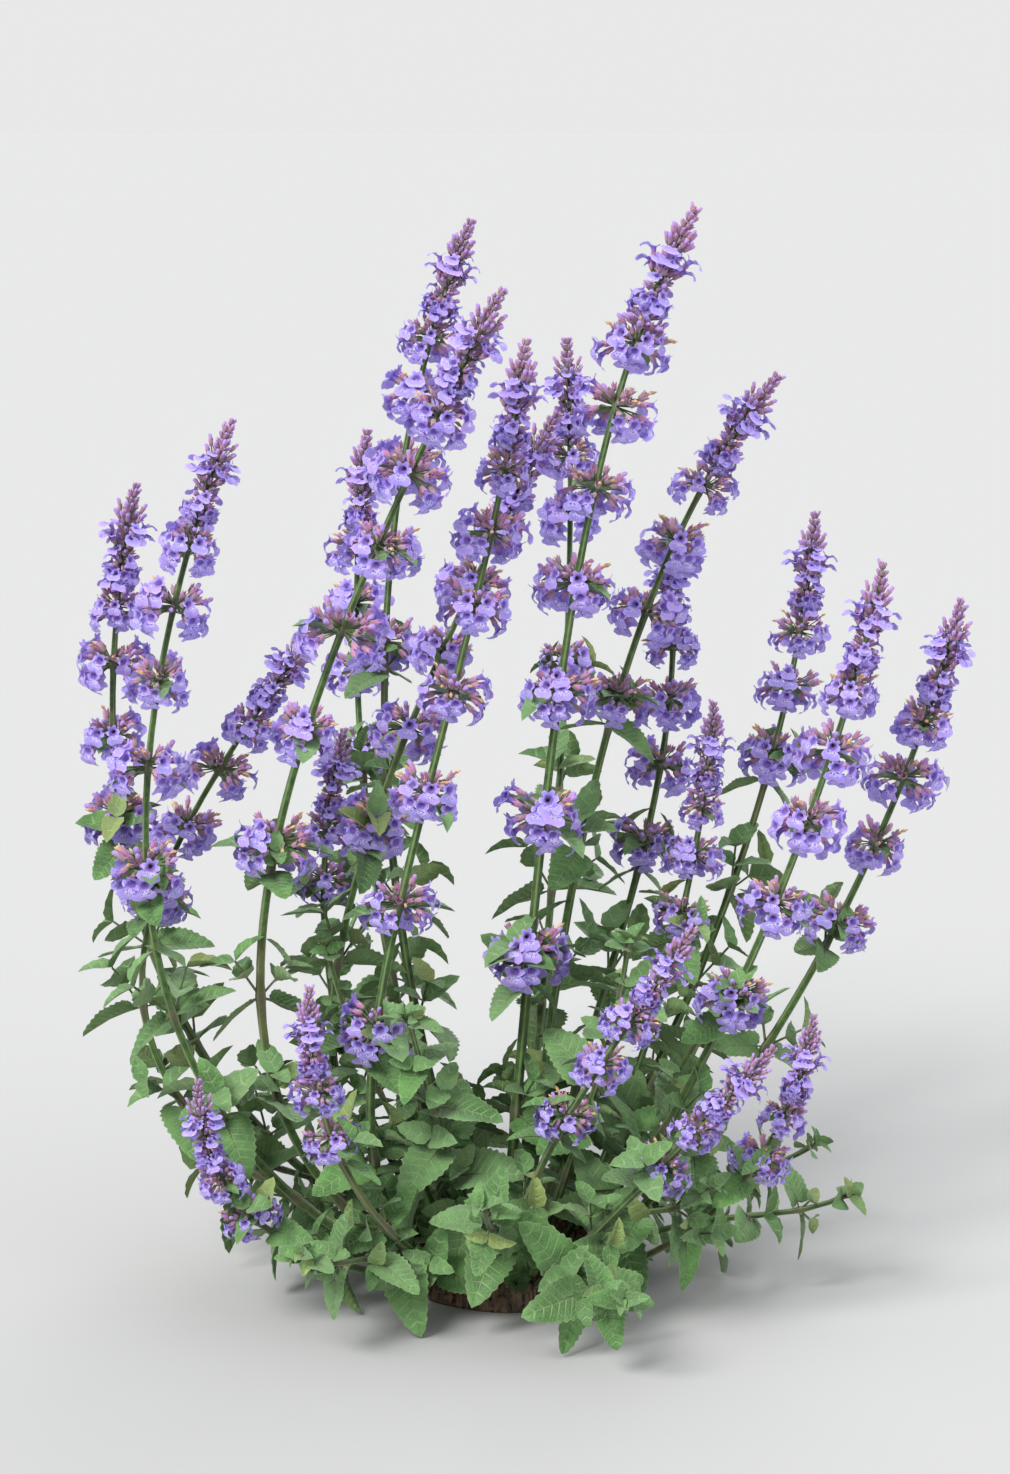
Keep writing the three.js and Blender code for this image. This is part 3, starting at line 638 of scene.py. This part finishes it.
class Piece:
    """One mesh of the looks, made of many copies."""

    def __init__(self, name, slot):
        self.name = name
        self.slot = slot
        self.parts = []
        self.count = 0

    def add(self, template, origin=0, frame=np.eye(3), tone=0, must_clear=False):
        """Copies a template; the frame holds the length and direction of its X, Y and Z."""
        points = template.points @ frame + origin
        if must_clear and points[:, 2].min() < FLOOR_CLEAR:
            return
        place = np.full(template.place.shape[:2] + (3,), float(tone))
        place[..., :2] = template.place
        self.parts.append((points, template.tris + self.count, place, template.skins))
        self.count += len(points)

    def picture(self, place, skins):
        """Each corner's place in the piece's picture: copies of a tone lie on one tile."""
        spots = np.zeros(place.shape[:2] + (2,))
        for skin in SLOTS[self.slot]:
            left, bottom, right, top, wide, high = CHARTS[skin]
            mine = skins == skin
            a, b, tone = np.moveaxis(place[mine], -1, 0)
            if skin == STEM:
                a, b, tone = b, a, 0 * tone
            tile = np.minimum((tone * wide * high).astype(int), wide * high - 1)
            a, b = (CHART_MARGIN + v * (1 - 2 * CHART_MARGIN) for v in (a, b))
            spots[mine, :, 0] = left + (right - left) * (tile % wide + a) / wide
            spots[mine, :, 1] = bottom + (top - bottom) * (tile // wide + b) / high
        return spots

    def build(self, *nodes):
        """Makes the mesh, in place of the CAD nodes that are named."""
        points, tris, place, skins = (np.concatenate(rows) for rows in zip(*self.parts))
        mesh = bpy.data.meshes.new(self.name)
        for rows, count, name, values in (
            (mesh.vertices, len(points), "co", points * MM),
            (mesh.loops, tris.size, "vertex_index", tris),
            (mesh.polygons, len(tris), "loop_start", np.arange(0, tris.size, 3)),
        ):
            rows.add(count)
            rows.foreach_set(name, values.ravel())
        slots = np.zeros(len(SKINS), int)
        for i, skin in enumerate(SLOTS[self.slot]):
            slots[skin] = i
            mesh.materials.append(SKINS[skin])
        mesh.polygons.foreach_set("material_index", slots[skins])
        layer = mesh.attributes.new("place", "FLOAT_VECTOR", "CORNER")
        layer.data.foreach_set("vector", place.ravel())
        layer = mesh.uv_layers.new(name="OFBake")
        layer.data.foreach_set("uv", self.picture(place, skins).ravel())
        mesh.update(calc_edges=True)
        mesh.shade_smooth()
        piece = bpy.data.objects.new(self.name, mesh)
        scene.collection.objects.link(piece)
        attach(piece, "root")
        if nodes:
            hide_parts(*nodes)


# ---- materials ----
def tint(*screen):
    """A colour picked as screen values, 11 to 255, for a shader."""
    return (*(((c / 255 + 0.055) / 1.055) ** 2.4 for c in screen), 1)


class Skin:
    """A material made of nodes, with a short call for each kind of node. Noise is per metre."""

    def __init__(self, name):
        self.material = bpy.data.materials.new(name)
        self.material.use_nodes = True
        self.tree = self.material.node_tree
        place = self.add("Attribute", attribute_name="place").outputs["Vector"]
        self.a, self.b, self.tone = self.add("SeparateXYZ", place).outputs
        self.spot = self.add("TexCoord").outputs["Object"]

    def feed(self, socket, value):
        if isinstance(value, bpy.types.NodeSocket):
            self.tree.links.new(value, socket)
        elif value is not None:
            socket.default_value = value

    def add(self, kind, *inputs, **settings):
        node = self.tree.nodes.new("ShaderNode" + kind)
        for name, value in settings.items():
            setattr(node, name, value)
        for socket, value in zip(node.inputs, inputs):
            self.feed(socket, value)
        return node

    def math(self, operation, *inputs):
        return self.add("Math", *inputs, operation=operation).outputs[0]

    def times(self, one, other):
        return self.math("MULTIPLY", one, other)

    def ramp(self, value, low, high):
        """0 below low and 1 above high, or the other way round, with a soft step."""
        return self.add("MapRange", value, low, high, interpolation_type="SMOOTHSTEP").outputs[0]

    def mix(self, share, one, other):
        unused = [None] * 5
        self.colour = self.add("Mix", share, *unused, one, other, data_type="RGBA").outputs[2]

    def start(self, mask, one, other):
        """Starts the colour from two, the second where the mask is 1."""
        self.mix(mask, tint(*one), tint(*other))

    def lay(self, colour, mask, share=1):
        """Lays a share of another colour over it where the mask is 1."""
        mask = mask if share == 1 else self.times(mask, share)
        self.mix(mask, self.colour, tint(*colour))

    def noise(self, scale, detail=3):
        return self.add("TexNoise", self.spot, None, scale, detail).outputs["Fac"]

    def comb(self, value, count):
        """The distance from the nearest of `count` lines, in line spacings."""
        spaced = self.math("MULTIPLY_ADD", value, count, 0.5)
        return self.math("ABSOLUTE", self.math("SUBTRACT", self.math("FRACT", spaced), 0.5))

    def finish(self, roughness, height, depth, sheen=0, through=0, glow=None):
        """The material, with its relief `depth` metres deep and a share of light let through."""
        bump = self.add("Bump")
        shader = self.tree.nodes["Principled BSDF"]
        for node, name, value in (
            (bump, "Height", height), (bump, "Distance", depth),
            (shader, "Normal", bump.outputs[0]), (shader, "Base Color", self.colour),
            (shader, "Roughness", roughness), (shader, "Specular IOR Level", 0.35),
            (shader, "Sheen Weight", sheen), (shader, "Sheen Roughness", 0.45),
        ):
            self.feed(node.inputs[name], value)
        if through:
            thin = self.add("BsdfTranslucent", tint(*glow) if glow else self.colour)
            both = self.add("MixShader", through, shader.outputs[0], thin.outputs[0])
            self.feed(self.tree.nodes["Material Output"].inputs["Surface"], both.outputs[0])
        return self.material


def leaf_skin(name, dark, light, vein, roughness, vein_height):
    s = Skin(name)
    side = s.math("ABSOLUTE", s.math("MULTIPLY_ADD", s.a, 2, -1))
    rib = s.ramp(side, 0.075, 0.02)
    veins = s.ramp(s.comb(s.b, SIDE_VEINS), 0.16, 0.02)
    veins = s.times(veins, s.ramp(side, 1.15, 0.2))
    net = s.add("TexVoronoi", s.spot, None, 520, feature="DISTANCE_TO_EDGE")
    net = s.times(s.ramp(net.outputs["Distance"], 0.16, 0.02), 0.4)
    lines = s.math("MAXIMUM", rib, s.math("MAXIMUM", veins, net))
    s.start(s.ramp(s.noise(90), 0.3, 0.7), dark, light)
    s.lay((142, 172, 128), s.tone, 0.5)  # greyer and hairier
    s.lay((56, 100, 44), s.ramp(s.noise(16, 2), 0.56, 0.72))  # dark patches
    s.lay((160, 166, 86), s.ramp(s.tone, 0.86, 0.97), 0.5)  # a few that turn yellow
    s.lay(vein, lines, 0.5)
    s.lay((152, 168, 122), s.ramp(side, 0.88, 1), 0.35)  # the margin
    grain = s.times(s.noise(1500, 2), 0.35)
    height = s.math("MULTIPLY_ADD", lines, vein_height, grain)
    return s.finish(roughness, height, 0.0005, sheen=0.16, through=0.12, glow=(120, 160, 70))


def stem_skin():
    s = Skin("stem")
    edges = s.ramp(s.comb(s.a, 4), 0.26, 0.42)
    s.start(s.ramp(s.noise(220, 4), 0.35, 0.65), (40, 70, 26), (66, 98, 42))
    s.lay((104, 96, 64), s.ramp(s.noise(14, 2), 0.55, 0.7), 0.6)  # woody stretches
    s.lay((112, 84, 88), s.tone, 0.5)  # a flush at the joints
    # the four corners paler: the hairs along them, with a painted highlight where the edges catch
    # light
    s.lay((130, 150, 96), edges, 0.45)
    return s.finish(0.6, s.times(s.noise(1600, 2), 0.5), 0.0003, sheen=0.28)


def petal_skin():
    s = Skin("petal")
    s.start(s.ramp(s.b, 0.3, 0.62), (160, 120, 214), (171, 154, 255))
    s.lay((218, 208, 255), s.ramp(s.b, 0.75, 1), 0.6)  # the rim: a paler lip edge, with a painted highlight on the crinkled edges
    s.lay((198, 158, 236), s.tone, 0.5)  # older flowers
    # painted shade: a dark violet band where the throat opens into the tube
    s.lay((86, 56, 150), s.times(s.ramp(s.b, 0.3, 0.43), s.ramp(s.b, 0.56, 0.46)), 0.6)
    middle = s.math("ABSOLUTE", s.math("SUBTRACT", s.a, 0.5))
    patch = s.times(s.ramp(s.b, 0.48, 0.58), s.ramp(s.b, 0.84, 0.66))
    patch = s.times(patch, s.ramp(middle, 0.17, 0.07))
    s.lay((222, 216, 246), patch, 0.75)  # the lower lip's pale patch and its dots
    s.lay((92, 58, 160), s.times(patch, s.ramp(s.noise(1300, 1), 0.52, 0.6)))
    veins = s.ramp(s.comb(s.a, 44), 0.25, 0.05)
    s.lay((92, 76, 188), veins, 0.2)
    height = s.math("MULTIPLY_ADD", s.noise(900, 2), 0.6, s.times(veins, -0.3))
    return s.finish(0.55, height, 0.0003, sheen=0.3, through=0.25, glow=(172, 156, 246))


def calyx_skin():
    s = Skin("calyx")
    s.start(s.ramp(s.b, 0.05, 0.55), (140, 142, 106), (196, 130, 176))
    s.lay((212, 146, 202), s.ramp(s.b, 0.6, 1), 0.6)  # the teeth
    s.lay((150, 148, 124), s.ramp(s.tone, 0.5, 1), 0.6)  # greener ones
    ribs = s.ramp(s.comb(s.a, 15), 0.3, 0.08)
    s.lay((150, 84, 130), ribs, 0.4)
    return s.finish(0.65, s.math("MULTIPLY_ADD", s.noise(1700, 2), 0.6, ribs), 0.0003, sheen=0.7)


def bud_skin():
    s = Skin("bud")
    s.start(s.ramp(s.b, 0.2, 0.9), (182, 140, 200), (146, 128, 224))
    s.lay((186, 146, 206), s.tone, 0.4)
    return s.finish(0.55, s.noise(1200, 2), 0.0002, sheen=0.5, through=0.08)


def spent_skin():
    s = Skin("spent")
    s.start(s.ramp(s.noise(700), 0.35, 0.65), (178, 130, 86), (232, 202, 156))
    s.lay((176, 132, 140), s.tone, 0.25)
    return s.finish(0.8, s.noise(1400, 4), 0.0006, sheen=0.2, through=0.1)


def bark_skin():
    s = Skin("bark")
    grain = s.add("Mapping", s.spot, None, None, (1, 1, 0.14)).outputs[0]
    fibres = s.add("TexNoise", grain, None, 460, 5).outputs["Fac"]
    s.start(s.ramp(fibres, 0.36, 0.62), (62, 47, 35), (122, 101, 78))
    s.lay((88, 80, 66), s.ramp(s.noise(60, 5), 0.45, 0.62), 0.6)  # weathered patches
    s.lay((38, 29, 22), s.ramp(fibres, 0.4, 0.32))  # cracks
    return s.finish(0.85, fibres, 0.0025)


SKINS = [
    leaf_skin("leaf_top", (50, 96, 40), (90, 144, 68), (156, 188, 130), 0.6, -1),
    leaf_skin("leaf_under", (100, 138, 76), (130, 164, 102), (170, 194, 140), 0.7, 1),
    stem_skin(), petal_skin(), calyx_skin(), bud_skin(), spent_skin(), bark_skin(),
]


# ---- stems and leaves ----
STEM_STEP = 13
STEM_SECTION = np.tile([0.43, 0.585, 0.585], 4)[:, None]  # grooved faces between blunt edges
JOINT_REACH = 4
JOINT_LENGTH = 5
JOINT_SWELL = 0.28
HAIR_STEP = 5
HAIR_LENGTH = 1.5
UPPER_STEM = 110
WIDEST_SIDE_LEAF = 42


def stem_mesh(piece, stem, start, end, closed_tip):
    """The square, grooved stem between two distances, swollen at its joints."""
    distances = np.linspace(start, end, max(2, round((end - start) / STEM_STEP) + 1))
    joints = sorted({grown.distance for grown in stem.leaves + stem.whorls})
    swollen = [j + d for j in joints for d in (-JOINT_REACH, 0, JOINT_REACH)
               if start < j + d < end]
    distances = np.unique(np.concatenate([distances, swollen]))
    angles = around(len(STEM_SECTION))[:, None]
    rows, near = [], []
    for distance in distances:
        spot = stem.along(distance)
        joint = max([math.exp(-(((distance - j) / JOINT_LENGTH) ** 2)) for j in joints] or [0])
        width = stem.width(distance) * (1 + JOINT_SWELL * joint)
        if closed_tip and distance == distances[-1]:
            width = 0
        ring = spot.side * np.cos(angles) + spot.up * np.sin(angles)
        rows.append(spot.point + ring * (STEM_SECTION * width))
        near.append(joint)
    mesh = Template()
    mesh.sheet(np.array(rows), shares(len(angles) + 1), distances / stem.length, STEM, closed=True)
    spots = np.arange(start + 3, end - 3, HAIR_STEP)
    edges = np.tile([45, 135, 225, 315], len(spots))
    spots = np.repeat(spots, 4) + edges * HAIR_STEP / 360
    feet, tips = [], []
    for distance, edge in zip(spots, edges):
        spot = stem.along(distance)
        out = spot.outward(edge)
        feet.append(spot.point + out * 0.5 * stem.width(distance))
        tips.append(feet[-1] + out * HAIR_LENGTH + spot.tangent * 0.3 * math.sin(7 * distance))
    mesh.hairs(np.array(feet), np.array(tips), edges / 360, spots / stem.length, STEM)
    piece.add(mesh)
    place = piece.parts[-1][2]
    place[..., 2] = np.interp(place[..., 1] * stem.length, distances, near)


def pick(rng, templates):
    return templates[rng.integers(len(templates))]


def rod_frame(rod, width, hint):
    """The frame of a stalk along the vector rod."""
    across = unit(np.cross(rod, hint))
    return np.array([across * width, unit(np.cross(rod, across)) * width, rod])


def small_leaf(piece, rng, foot, axis, sky, size, tones):
    """A small leaf along an axis, its upper side to the sky, unless it would reach the floor."""
    across = unit(np.cross(axis, sky))
    frame = np.array([across, axis, np.cross(across, axis)]) * size
    piece.add(pick(rng, SMALL_LEAVES), foot, frame, rng.uniform(*tones), True)


def tuft(piece, rng, spot, out, sizes, spread):
    """Small leaves in an axil or at a tip, in facing pairs."""
    for i, size in enumerate(sizes):
        turn = 90 * (i // 2) + 180 * (i % 2) + rng.uniform(-15, 15)
        sideways = turned(out, spot.tangent, turn)
        axis = unit(spot.tangent + sideways * spread * rng.uniform(0.7, 1.2))
        small_leaf(piece, rng, spot.point, axis, spot.tangent - sideways, size, (0.3, 1))


def side_shoot(piece, rng, leaf, sizes):
    """A short shoot in a leaf's axil, with a facing pair of leaves for each size."""
    axis = unit(leaf.out * 0.7 + leaf.spot.tangent + rng.normal(0, 0.16, 3))
    sideways = unit(np.cross(leaf.out, leaf.spot.tangent))
    reach = 0
    for size in sizes:
        reach += size * 0.6
        foot = leaf.spot.point + axis * reach
        for way in (1, -1):
            out = way * sideways
            tip = unit(out + axis * rng.uniform(0.4, 1))
            grown = size * rng.uniform(0.85, 1.15)
            small_leaf(piece, rng, foot, tip, axis - out * 0.3, grown, (0.2, 1))
        sideways = unit(np.cross(axis, sideways))
    piece.add(STALK, leaf.spot.point, rod_frame(axis * reach, 1.7, sideways), 0.2)


def leafy_piece(stem, rng, node):
    """A stem with its leaves, and for a leafy shoot its tip."""
    is_shoot = node == stem.name
    piece = Piece(stem.name + "_leaves", "foliage")
    stem_mesh(piece, stem, 0, stem.end, is_shoot)
    for leaf in stem.leaves:
        piece.add(pick(rng, LEAVES), leaf.spot.point, leaf.frame, rng.uniform(0, 0.8))
        size = min(leaf.length, WIDEST_SIDE_LEAF) * rng.uniform(0.48, 0.68)
        pairs = (0.8,) if is_shoot else (1.15, 1) if leaf.distance > UPPER_STEM else (1, 0.8)
        side_shoot(piece, rng, leaf, [size * share for share in pairs])
    if is_shoot:
        tip = stem.along(stem.length)
        tuft(piece, rng, tip, tip.side, (15, 14, 10, 9), 0.8)
    piece.build(node)


# ---- flowers ----
STALK_HINT = (0.3, 0.5, 0.8)
ROLL = 40
FLOWER_ROLL = 18
INNER_CALYCES = 7
SPIRAL = 137.5
BRACT_DROP = 4
SPIKE_ROWS = 15
SPIKE_SPAN = 68


def flower_frame(axis, up, roll, size):
    """A flower's frame: Z along its tube and Y toward its upper lip."""
    across = turned(np.cross(square_to(up, axis), axis), axis, roll)
    return np.array([across, np.cross(axis, across), axis]) * size


class Bloom:
    """The flowers and calyces of one stem, and the stalks that hold them."""

    def __init__(self, stem, rng):
        self.stem = stem
        self.rng = rng
        self.bloom = Piece(stem.name + "_bloom", "flowers")
        self.axis = Piece(stem.name + "_axis", "foliage")

    def filling(self, buds, spents):
        """What a calyx holds: a bud, a spent corolla or nothing."""
        kind = self.rng.uniform()
        return BUDS if kind < buds else SPENTS if kind < spents else None

    def calyx(self, centre, base, axis, up, size, inside, roll=ROLL):
        """A calyx with what it holds, on a stalk from the stem's middle."""
        rng = self.rng
        frame = flower_frame(axis, up, rng.uniform(-roll, roll), size)
        self.bloom.add(CUP, base, frame, rng.uniform())
        if inside:
            self.bloom.add(pick(rng, inside), base, frame, rng.uniform())
        stalk = base + axis * 0.3 * size - centre
        self.axis.add(STALK, centre, rod_frame(stalk, size, STALK_HINT), 0.4)

    def flower(self, centre, throat, axis, up, size):
        """An open flower with its throat at a point."""
        base = throat - axis * THROAT_AT * size
        self.calyx(centre, base, axis, up, size, COROLLAS, FLOWER_ROLL)

    def cup(self, centre, mouth, axis, up, size, inside):
        """A calyx with its mouth at a point."""
        self.calyx(centre, mouth - axis * CALYX_LENGTH * size, axis, up, size, inside)

    def whorl(self, whorl):
        rng = self.rng
        spot, up, size = whorl.spot, whorl.rise, whorl.size
        centre = spot.point
        for floret in whorl.florets:
            root = centre + unit(floret.mouth - centre)
            for k, rim in enumerate(floret.rim):
                if floret.is_bud and (k == 2 or rng.uniform() > 0.7):
                    for share in rng.uniform(0.05, 0.9, 2):
                        target = between(floret.mouth, rim, share)
                        axis = unit(unit(target - centre) + up * rng.uniform(0.1, 0.5))
                        grown = size * rng.uniform(0.85, 1.05)
                        self.cup(root, target, axis, up, grown, self.filling(0.33, 0.6))
                    continue
                reach = (1 if floret.is_bud else 0.55) * rng.uniform(0.85, 1.1)
                target = between(floret.mouth, rim, reach)
                target -= unit(target - centre) * 2 * size
                axis = unit(target - centre) + rng.normal(0, 0.12, 3) - (0, 0, 0.15)
                self.flower(root, target, unit(axis), up, size * rng.uniform(0.88, 1.05))
        for i in range(INNER_CALYCES):
            turn = SPIRAL * i + rng.uniform(-20, 20)
            level = square_to(turned(spot.side, spot.tangent, turn), up)
            axis = unit(level + up * rng.uniform(-0.1, 1.5))
            grown = size * rng.uniform(0.85, 1.05)
            base = centre + axis * rng.uniform(3, 9) * size
            self.calyx(centre, base, axis, up, grown, self.filling(0.2, 0.52 + 0.06 * whorl.order))
        for half in (0, 180):
            turn = half + 90 * (whorl.order % 2) + rng.uniform(-12, 12)
            out = spot.outward(turn)
            axis = unit(out + spot.tangent * rng.uniform(-0.2, 0.5))
            length = rng.uniform(6, 10) + 0.08 * (self.stem.length - whorl.distance)
            below = centre - spot.tangent * BRACT_DROP
            small_leaf(self.axis, rng, below, axis, spot.tangent - out * 0.3, length, (0.45, 0.85))

    def spike(self):
        rng, stem, size = self.rng, self.stem, self.stem.size
        up = stem.along(stem.length).tangent
        for floret in stem.florets:
            centre = floret.centre
            for rim in floret.rim:
                target = between(floret.mouth, rim, 0.5)
                axis = unit(unit(target - centre) + up * rng.uniform(0, 0.35))
                if floret.is_bud:
                    self.cup(centre, target, axis, up, size * rng.uniform(0.7, 0.85), BUDS)
                else:
                    self.flower(centre, target, axis, up, size * rng.uniform(0.76, 0.9))
        for row in range(SPIKE_ROWS):
            rise = row / (SPIKE_ROWS - 1)
            spot = stem.along(stem.length - SPIKE_SPAN * (1 - rise**0.94) * size)
            grown = size * (0.98 - 0.34 * rise)
            for k in range(6 if row < SPIKE_ROWS - 1 else 4):
                turn = 60 * k + 30 * (row % 2) + rng.uniform(-10, 10)
                level = spot.outward(turn)
                lean = 0.3 + 1.9 * rise**1.8 + rng.uniform(0, 0.3)
                axis = unit(level + spot.tangent * lean)
                base = spot.point + level * (2.6 - 1.5 * rise) * size
                base -= spot.tangent * 4 * rise * grown
                if rng.uniform() < 0.3 and 0.02 < rise < 0.7:
                    small = grown * rng.uniform(0.7, 0.82)
                    self.calyx(spot.point, base, axis, spot.tangent, small, COROLLAS, FLOWER_ROLL)
                    continue
                kind = rng.uniform()
                bud = BUDS if kind < 0.45 - 0.3 * rise else YOUNG_BUDS if kind < 0.85 else None
                self.calyx(spot.point - spot.tangent * 2, base, axis, spot.tangent, grown, bud)

    def build(self):
        stem = self.stem
        stem_mesh(self.axis, stem, stem.end, stem.length - 3, True)
        for whorl in stem.whorls:
            self.whorl(whorl)
        self.spike()
        self.bloom.build(stem.name + "_flowers")
        self.axis.build()


# ---- the crown ----
CROWN = np.array([(0, 0), (62, 0), (65, 7), (56, 19), (28, 26), (0, 28)], float)
CROWN_LUMPS = ((3, 0.06, 0.7), (5, 0.036, 2))
CROWN_ROWS = 33
CROWN_SIDES = 128
STUMPS = 44
YOUNG_SHOOTS = 34
RIM_SHOOTS = 22
SPIRAL_RADIANS = 2.4


def swell(angle):
    return 1 + sum(share * np.sin(waves * angle + start) for waves, share, start in CROWN_LUMPS)


def spiral(count, first, reach):
    """Angles and radii that fill a ring evenly."""
    for i in range(count):
        yield SPIRAL_RADIANS * i, first + reach * math.sqrt((i + 0.5) / count)


def bark_height(point):
    """How far the bark stands out: broad lumps, and ridges that run up."""
    ridges = Vector((point[0] * 0.16, point[1] * 0.16, point[2] * 0.03))
    lumps = noise.fractal(Vector(point) * 0.05, 0.6, 2.3, 6)
    return 4 * lumps + 2.5 * noise.fractal(ridges, 0.8, 2.1, 3)


def crown_piece():
    """The woody foot on the crown's own outline, with the stumps of old stems."""
    piece = Piece("crown_bark", "crown")
    lengths = run(CROWN)
    rim = lengths[1]
    at = np.concatenate([[0, rim / 2], np.linspace(rim, lengths[-1], CROWN_ROWS)])
    radii, heights = (np.interp(at, lengths, values) for values in CROWN.T)
    angles = around(CROWN_SIDES)
    rows = []
    for radius, height in zip(radii, heights):
        ring = circle(angles) * (radius * swell(angles))[:, None] + (0, 0, height)
        if height > 0:
            for p in ring:
                p += unit(p + (0, 0, 12)) * bark_height(p)
                p[2] = max(p[2], 0.3)
        rows.append(ring)
    places = shares(CROWN_SIDES + 1), shares(len(rows))
    piece.add(Template().sheet(np.array(rows), *places, BARK, closed=True))
    rng = np.random.default_rng(7)
    stump = ball_template(((-6, 2.7), (3, 2.3), (8, 2), (8.5, 1.4), (7.9, 0)), 9, BARK)
    top = CROWN[:1:-1].T
    for angle, radius in spiral(STUMPS, 8, 53):
        level = circle(angle)
        foot = level * radius * swell(angle) + (0, 0, np.interp(radius, *top))
        axis = unit(level * radius + (0, 0, 40) + rng.normal(0, 10, 3))
        frame = flower_frame(axis, np.array([0, 0.2, 1]), 0, rng.uniform(0.7, 1.4))
        frame[2] *= rng.uniform(0.9, 2)
        piece.add(stump, foot, frame)
    piece.build("crown")


def young_shoot(piece, rng, foot, level, axis, reach, width, sizes, spread):
    """A short stalk with a tuft of leaves; reach and sizes are the limits of their draws."""
    reach = rng.uniform(*reach)
    piece.add(STALK, foot, rod_frame(axis * reach, width, (0.2, 0.3, 0.9)), 0.2)
    spot = Spot(foot + axis * reach, axis, unit(np.cross(axis, (0.2, 0.3, 0.9))))
    tuft(piece, rng, spot, level, rng.uniform(*sizes, 4) * (1, 1, 0.7, 0.7), spread)


def basal_leaves():
    """New shoots that come up from the crown, between the stems and round its rim."""
    piece = Piece("crown_shoots", "foliage")
    rng = np.random.default_rng(11)
    for angle, radius in spiral(YOUNG_SHOOTS, 10, 50):
        level = circle(angle)
        axis = unit(level * radius + (0, 0, 46) + rng.normal(0, 8, 3))
        foot = level * radius + (0, 0, 25 - radius**2 / 210)
        young_shoot(piece, rng, foot, level, axis, (10, 26), 2.2, (17, 27), 1.1)
    for i in range(RIM_SHOOTS):
        level = circle(2 * math.pi * (i + rng.uniform(-0.3, 0.3)) / RIM_SHOOTS)
        axis = unit(level + (0, 0, rng.uniform(0.5, 1.1)))
        foot = level * 58 + (0, 0, 12)
        young_shoot(piece, rng, foot, level, axis, (6, 16), 2, (18, 28), 1.4)
    piece.build()


crown_piece()
basal_leaves()
for i, stem in enumerate(stems):
    rng = np.random.default_rng(100 + i)
    leafy_piece(stem, rng, stem.name + "_stem")
    Bloom(stem, rng).build()
for i, stem in enumerate(shoots):
    leafy_piece(stem, np.random.default_rng(200 + i), stem.name)


# ---- camera, light and floor ----
TARGET = Vector((0, 0, 0.338))
DISTANCE = 2.2
ELEVATION = math.radians(10)
TALL_VIEW = math.radians(22.7)
FLOOR_REACH = 60
WORLD_STRENGTH = 0.81


def look_at(thing, place, target):
    thing.location = place
    thing.rotation_euler = (Vector(target) - Vector(place)).to_track_quat("-Z", "Y").to_euler()
    scene.collection.objects.link(thing)


def soft_light(name, place, softness, strength, colour):
    light = bpy.data.lights.new(name, "SUN")
    light.angle = math.radians(softness)
    light.energy = strength
    light.color = colour
    look_at(bpy.data.objects.new(name, light), place, (0, 0, 0.3))


camera_data = bpy.data.cameras.new("camera")
camera_data.sensor_fit = "VERTICAL"
camera_data.angle = TALL_VIEW
camera = bpy.data.objects.new("camera", camera_data)
back = Vector((0, -math.cos(ELEVATION), math.sin(ELEVATION)))
look_at(camera, TARGET + back * DISTANCE, TARGET)
scene.camera = camera

soft_light("key", (-1.2, -1.7, 2.2), 25, 3.55, (1, 0.98, 0.95))
soft_light("fill", (2.2, -1.4, 1), 50, 0.8, (0.96, 0.98, 1))
soft_light("rim", (0.8, 2.2, 1.8), 40, 1.1, (1, 1, 1))

world = bpy.data.worlds.new("world")
world.use_nodes = True
sky = world.node_tree.nodes["Background"].inputs
sky["Color"].default_value = (1, 1, 1, 1)
sky["Strength"].default_value = WORLD_STRENGTH
scene.world = world
scene.view_settings.view_transform = "Standard"

# The floor is lit to the world's own tone, so no horizon shows.
floor_mesh = bpy.data.meshes.new("floor")
floor_mesh.from_pydata([(x * FLOOR_REACH, y * FLOOR_REACH, 0) for x, y in SQUARE], [], [range(4)])
floor = bpy.data.objects.new("floor", floor_mesh)
scene.collection.objects.link(floor)
pale = bpy.data.materials.new("pale_floor")
pale.use_nodes = True
surface = pale.node_tree.nodes["Principled BSDF"].inputs
surface["Base Color"].default_value = tint(178, 179, 180)
surface["Roughness"].default_value = 0.8
surface["Specular IOR Level"].default_value = 0
floor_mesh.materials.append(pale)
